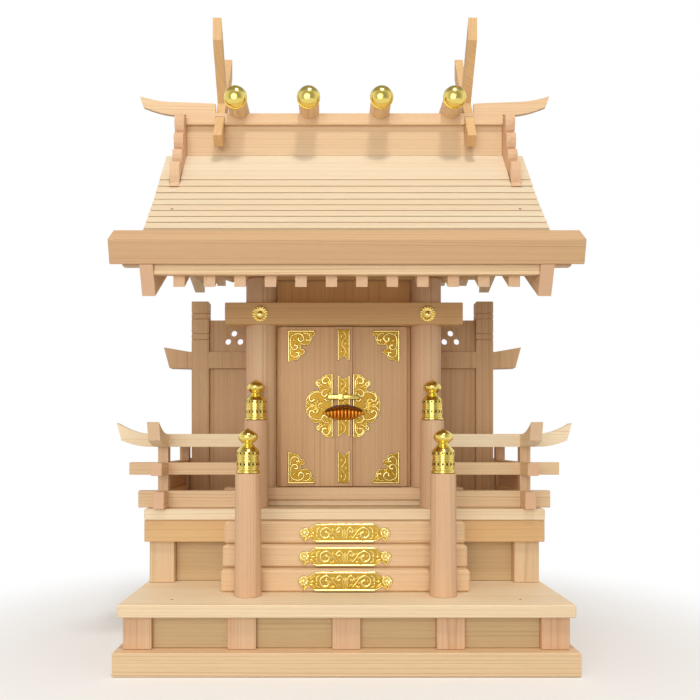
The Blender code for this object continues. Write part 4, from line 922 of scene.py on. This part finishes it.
# The logs across the ridge. Turned cypress, notched over the ridge board, with a domed cap of gilded brass
# pressed on each end.
LOG_RADIUS, LOG_HALF, LIP_RADIUS, LIP, DOME_RADIUS, DOME = 0.0110, 0.0480, 0.0124, 0.0016, 0.0118, 0.0089
cuts = itertools.count(101)
for index in range(4):
    node = f"ridge_log_{index + 1}"
    low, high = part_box(node)
    middle = (low + high) / 2
    middle.z = high.z - LIP_RADIUS
    bm = bmesh.new()
    rows = [(0, -LOG_HALF), (LOG_RADIUS, -LOG_HALF), (LOG_RADIUS, LOG_HALF), (0, LOG_HALF)]
    lathe(bm, rows, middle, 48, "y")
    keep(f"{node}_wood", bm, planed_cypress(node, BACK, HONEY), "shrine", (node,), 32)
    for end, sign in (("front", -1), ("rear", 1)):
        rows = [(0, 0), (LIP_RADIUS - 0.0002, 0), (LIP_RADIUS, 0.0002), (LIP_RADIUS, LIP - 0.0003)]
        rows += [(LIP_RADIUS - 0.0003, LIP), (DOME_RADIUS, LIP)]
        for step in range(1, 13):
            turn = math.radians(90 * step / 12)
            rows.append((DOME_RADIUS * math.cos(turn) if step < 12 else 0, LIP + DOME * math.sin(turn)))
        bm = bmesh.new()
        outward = [(radius, sign * run) for radius, run in rows]
        lathe(bm, outward, middle + Vector((0, sign * LOG_HALF, 0)), 48, "y")
        keep(f"{node}_cap_{end}", bm, POLISHED, "shrine", (node,), 32)

# The stage: a white floor that keeps the shrine's shadow and fades into a white surround, two soft lamps, and
# the camera where the photo was taken.
FLOOR_RADIUS, FLOOR_DROP = 3.0, 0.0003
# How far out the floor begins to fade, and where it is all surround.
FADE_START, FADE_END = 0.30, 0.62


def seen_directly(tree):
    """1 for what the camera sees, straight, mirrored or through glass, and 0 for light on the shrine."""
    path = add(tree, "ShaderNodeLightPath").outputs
    links = {0: path["Is Camera Ray"], 1: path["Is Glossy Ray"]}
    mirrored_too = add(tree, "ShaderNodeMath", None, links, operation="MAXIMUM").outputs[0]
    links = {0: mirrored_too, 1: path["Is Transmission Ray"]}
    return add(tree, "ShaderNodeMath", None, links, operation="MAXIMUM").outputs[0]


bm = bmesh.new()
bmesh.ops.create_circle(bm, cap_ends=True, segments=96, radius=FLOOR_RADIUS)
for vert in bm.verts:
    vert.co.z = -FLOOR_DROP
mesh = bpy.data.meshes.new("stage_floor")
bm.to_mesh(mesh)
bm.free()
stage_floor = bpy.data.objects.new("stage_floor", mesh)
bpy.context.scene.collection.objects.link(stage_floor)
white_floor = bpy.data.materials.new("white_floor")
mesh.materials.append(white_floor)
white_floor.use_nodes = True
tree = white_floor.node_tree
tree.nodes.clear()
place = add(tree, "ShaderNodeTexCoord").outputs["Object"]
away = add(tree, "ShaderNodeVectorMath", None, {0: place}, operation="LENGTH").outputs["Value"]
fade = between(tree, away, FADE_START, FADE_END)
seen = seen_directly(tree)
# The floor throws less light up at the shrine than a white floor would.
shade = between(tree, seen, 0.0, 1.0, 0.56, 0.92)
matt = add(tree, "ShaderNodeBsdfDiffuse", None, {"Color": shade}).outputs[0]
glow = add(tree, "ShaderNodeEmission", {"Color": (1, 1, 1, 1), "Strength": 1.0}).outputs[0]
shown = add(tree, "ShaderNodeMath", None, {0: seen, 1: fade}, operation="MULTIPLY").outputs[0]
floor = add(tree, "ShaderNodeMixShader", None, {0: shown, 1: matt, 2: glow}).outputs[0]
add(tree, "ShaderNodeOutputMaterial", None, {"Surface": floor})

world = bpy.data.worlds.new("white_surround")
bpy.context.scene.world = world
world.use_nodes = True
tree = world.node_tree
tree.nodes.clear()
around = add(tree, "ShaderNodeTexCoord").outputs["Generated"]
sides = add(tree, "ShaderNodeSeparateXYZ", None, {0: around}).outputs
# In the gilding the surround is darker overhead and behind the camera, as a room is.
overhead = between(tree, sides["Z"], 0.55, 0.85, 1.0, 0.35)
behind = between(tree, sides["Y"], -0.9, -0.2, 0.42, 1.0)
shade = add(tree, "ShaderNodeMath", None, {0: overhead, 1: behind}, operation="MINIMUM").outputs[0]
camera_ray = add(tree, "ShaderNodeLightPath").outputs["Is Camera Ray"]
white = add(tree, "ShaderNodeMath", None, {0: shade, 1: camera_ray}, operation="MAXIMUM").outputs[0]
bright = add(tree, "ShaderNodeBackground", {"Color": (1, 1, 1, 1)}, {"Strength": white}).outputs[0]
soft = add(tree, "ShaderNodeBackground", {"Color": (1.0, 0.96, 0.905, 1), "Strength": 0.62}).outputs[0]
either = add(tree, "ShaderNodeMixShader", None, {0: seen_directly(tree), 1: soft, 2: bright}).outputs[0]
add(tree, "ShaderNodeOutputWorld", None, {"Surface": either})


def soft_lamp(name, place, aim, size, power):
    """A soft round lamp of slightly warm light."""
    lamp = bpy.data.lights.new(name, "AREA")
    lamp.shape = "ELLIPSE"
    lamp.size, lamp.size_y = size
    lamp.energy = power
    lamp.color = (1.0, 0.98, 0.95)
    item = bpy.data.objects.new(name, lamp)
    bpy.context.scene.collection.objects.link(item)
    item.location = place
    item.rotation_euler = (Vector(aim) - Vector(place)).to_track_quat("-Z", "Y").to_euler()


soft_lamp("front_lamp", (-0.4, -1.8, 0.62), (0, 0, 0.30), (1.4, 1.3), 14.0)
soft_lamp("overhead_lamp", (0.12, -0.92, 2.0), (0, 0, 0.3), (0.30, 0.30), 13.0)

# The focal length and the width of the photo, both in pixels, and a sensor 36 mm wide.
FOCAL_PX, PICTURE_PX, SENSOR = 720.0, 700.0, 36.0
camera_data = bpy.data.cameras.new("camera")
camera_data.sensor_width = SENSOR
camera_data.lens = FOCAL_PX * SENSOR / PICTURE_PX
camera_data.shift_x = 0.0286
camera_data.shift_y = 0.131
camera_data.clip_start = 0.01
camera = bpy.data.objects.new("camera", camera_data)
bpy.context.scene.collection.objects.link(camera)
camera.location = (-0.016, -0.8242, 0.2257)
camera.rotation_euler = (math.radians(90), 0, 0)
bpy.context.scene.camera = camera
bpy.context.scene.view_settings.view_transform = "Standard"
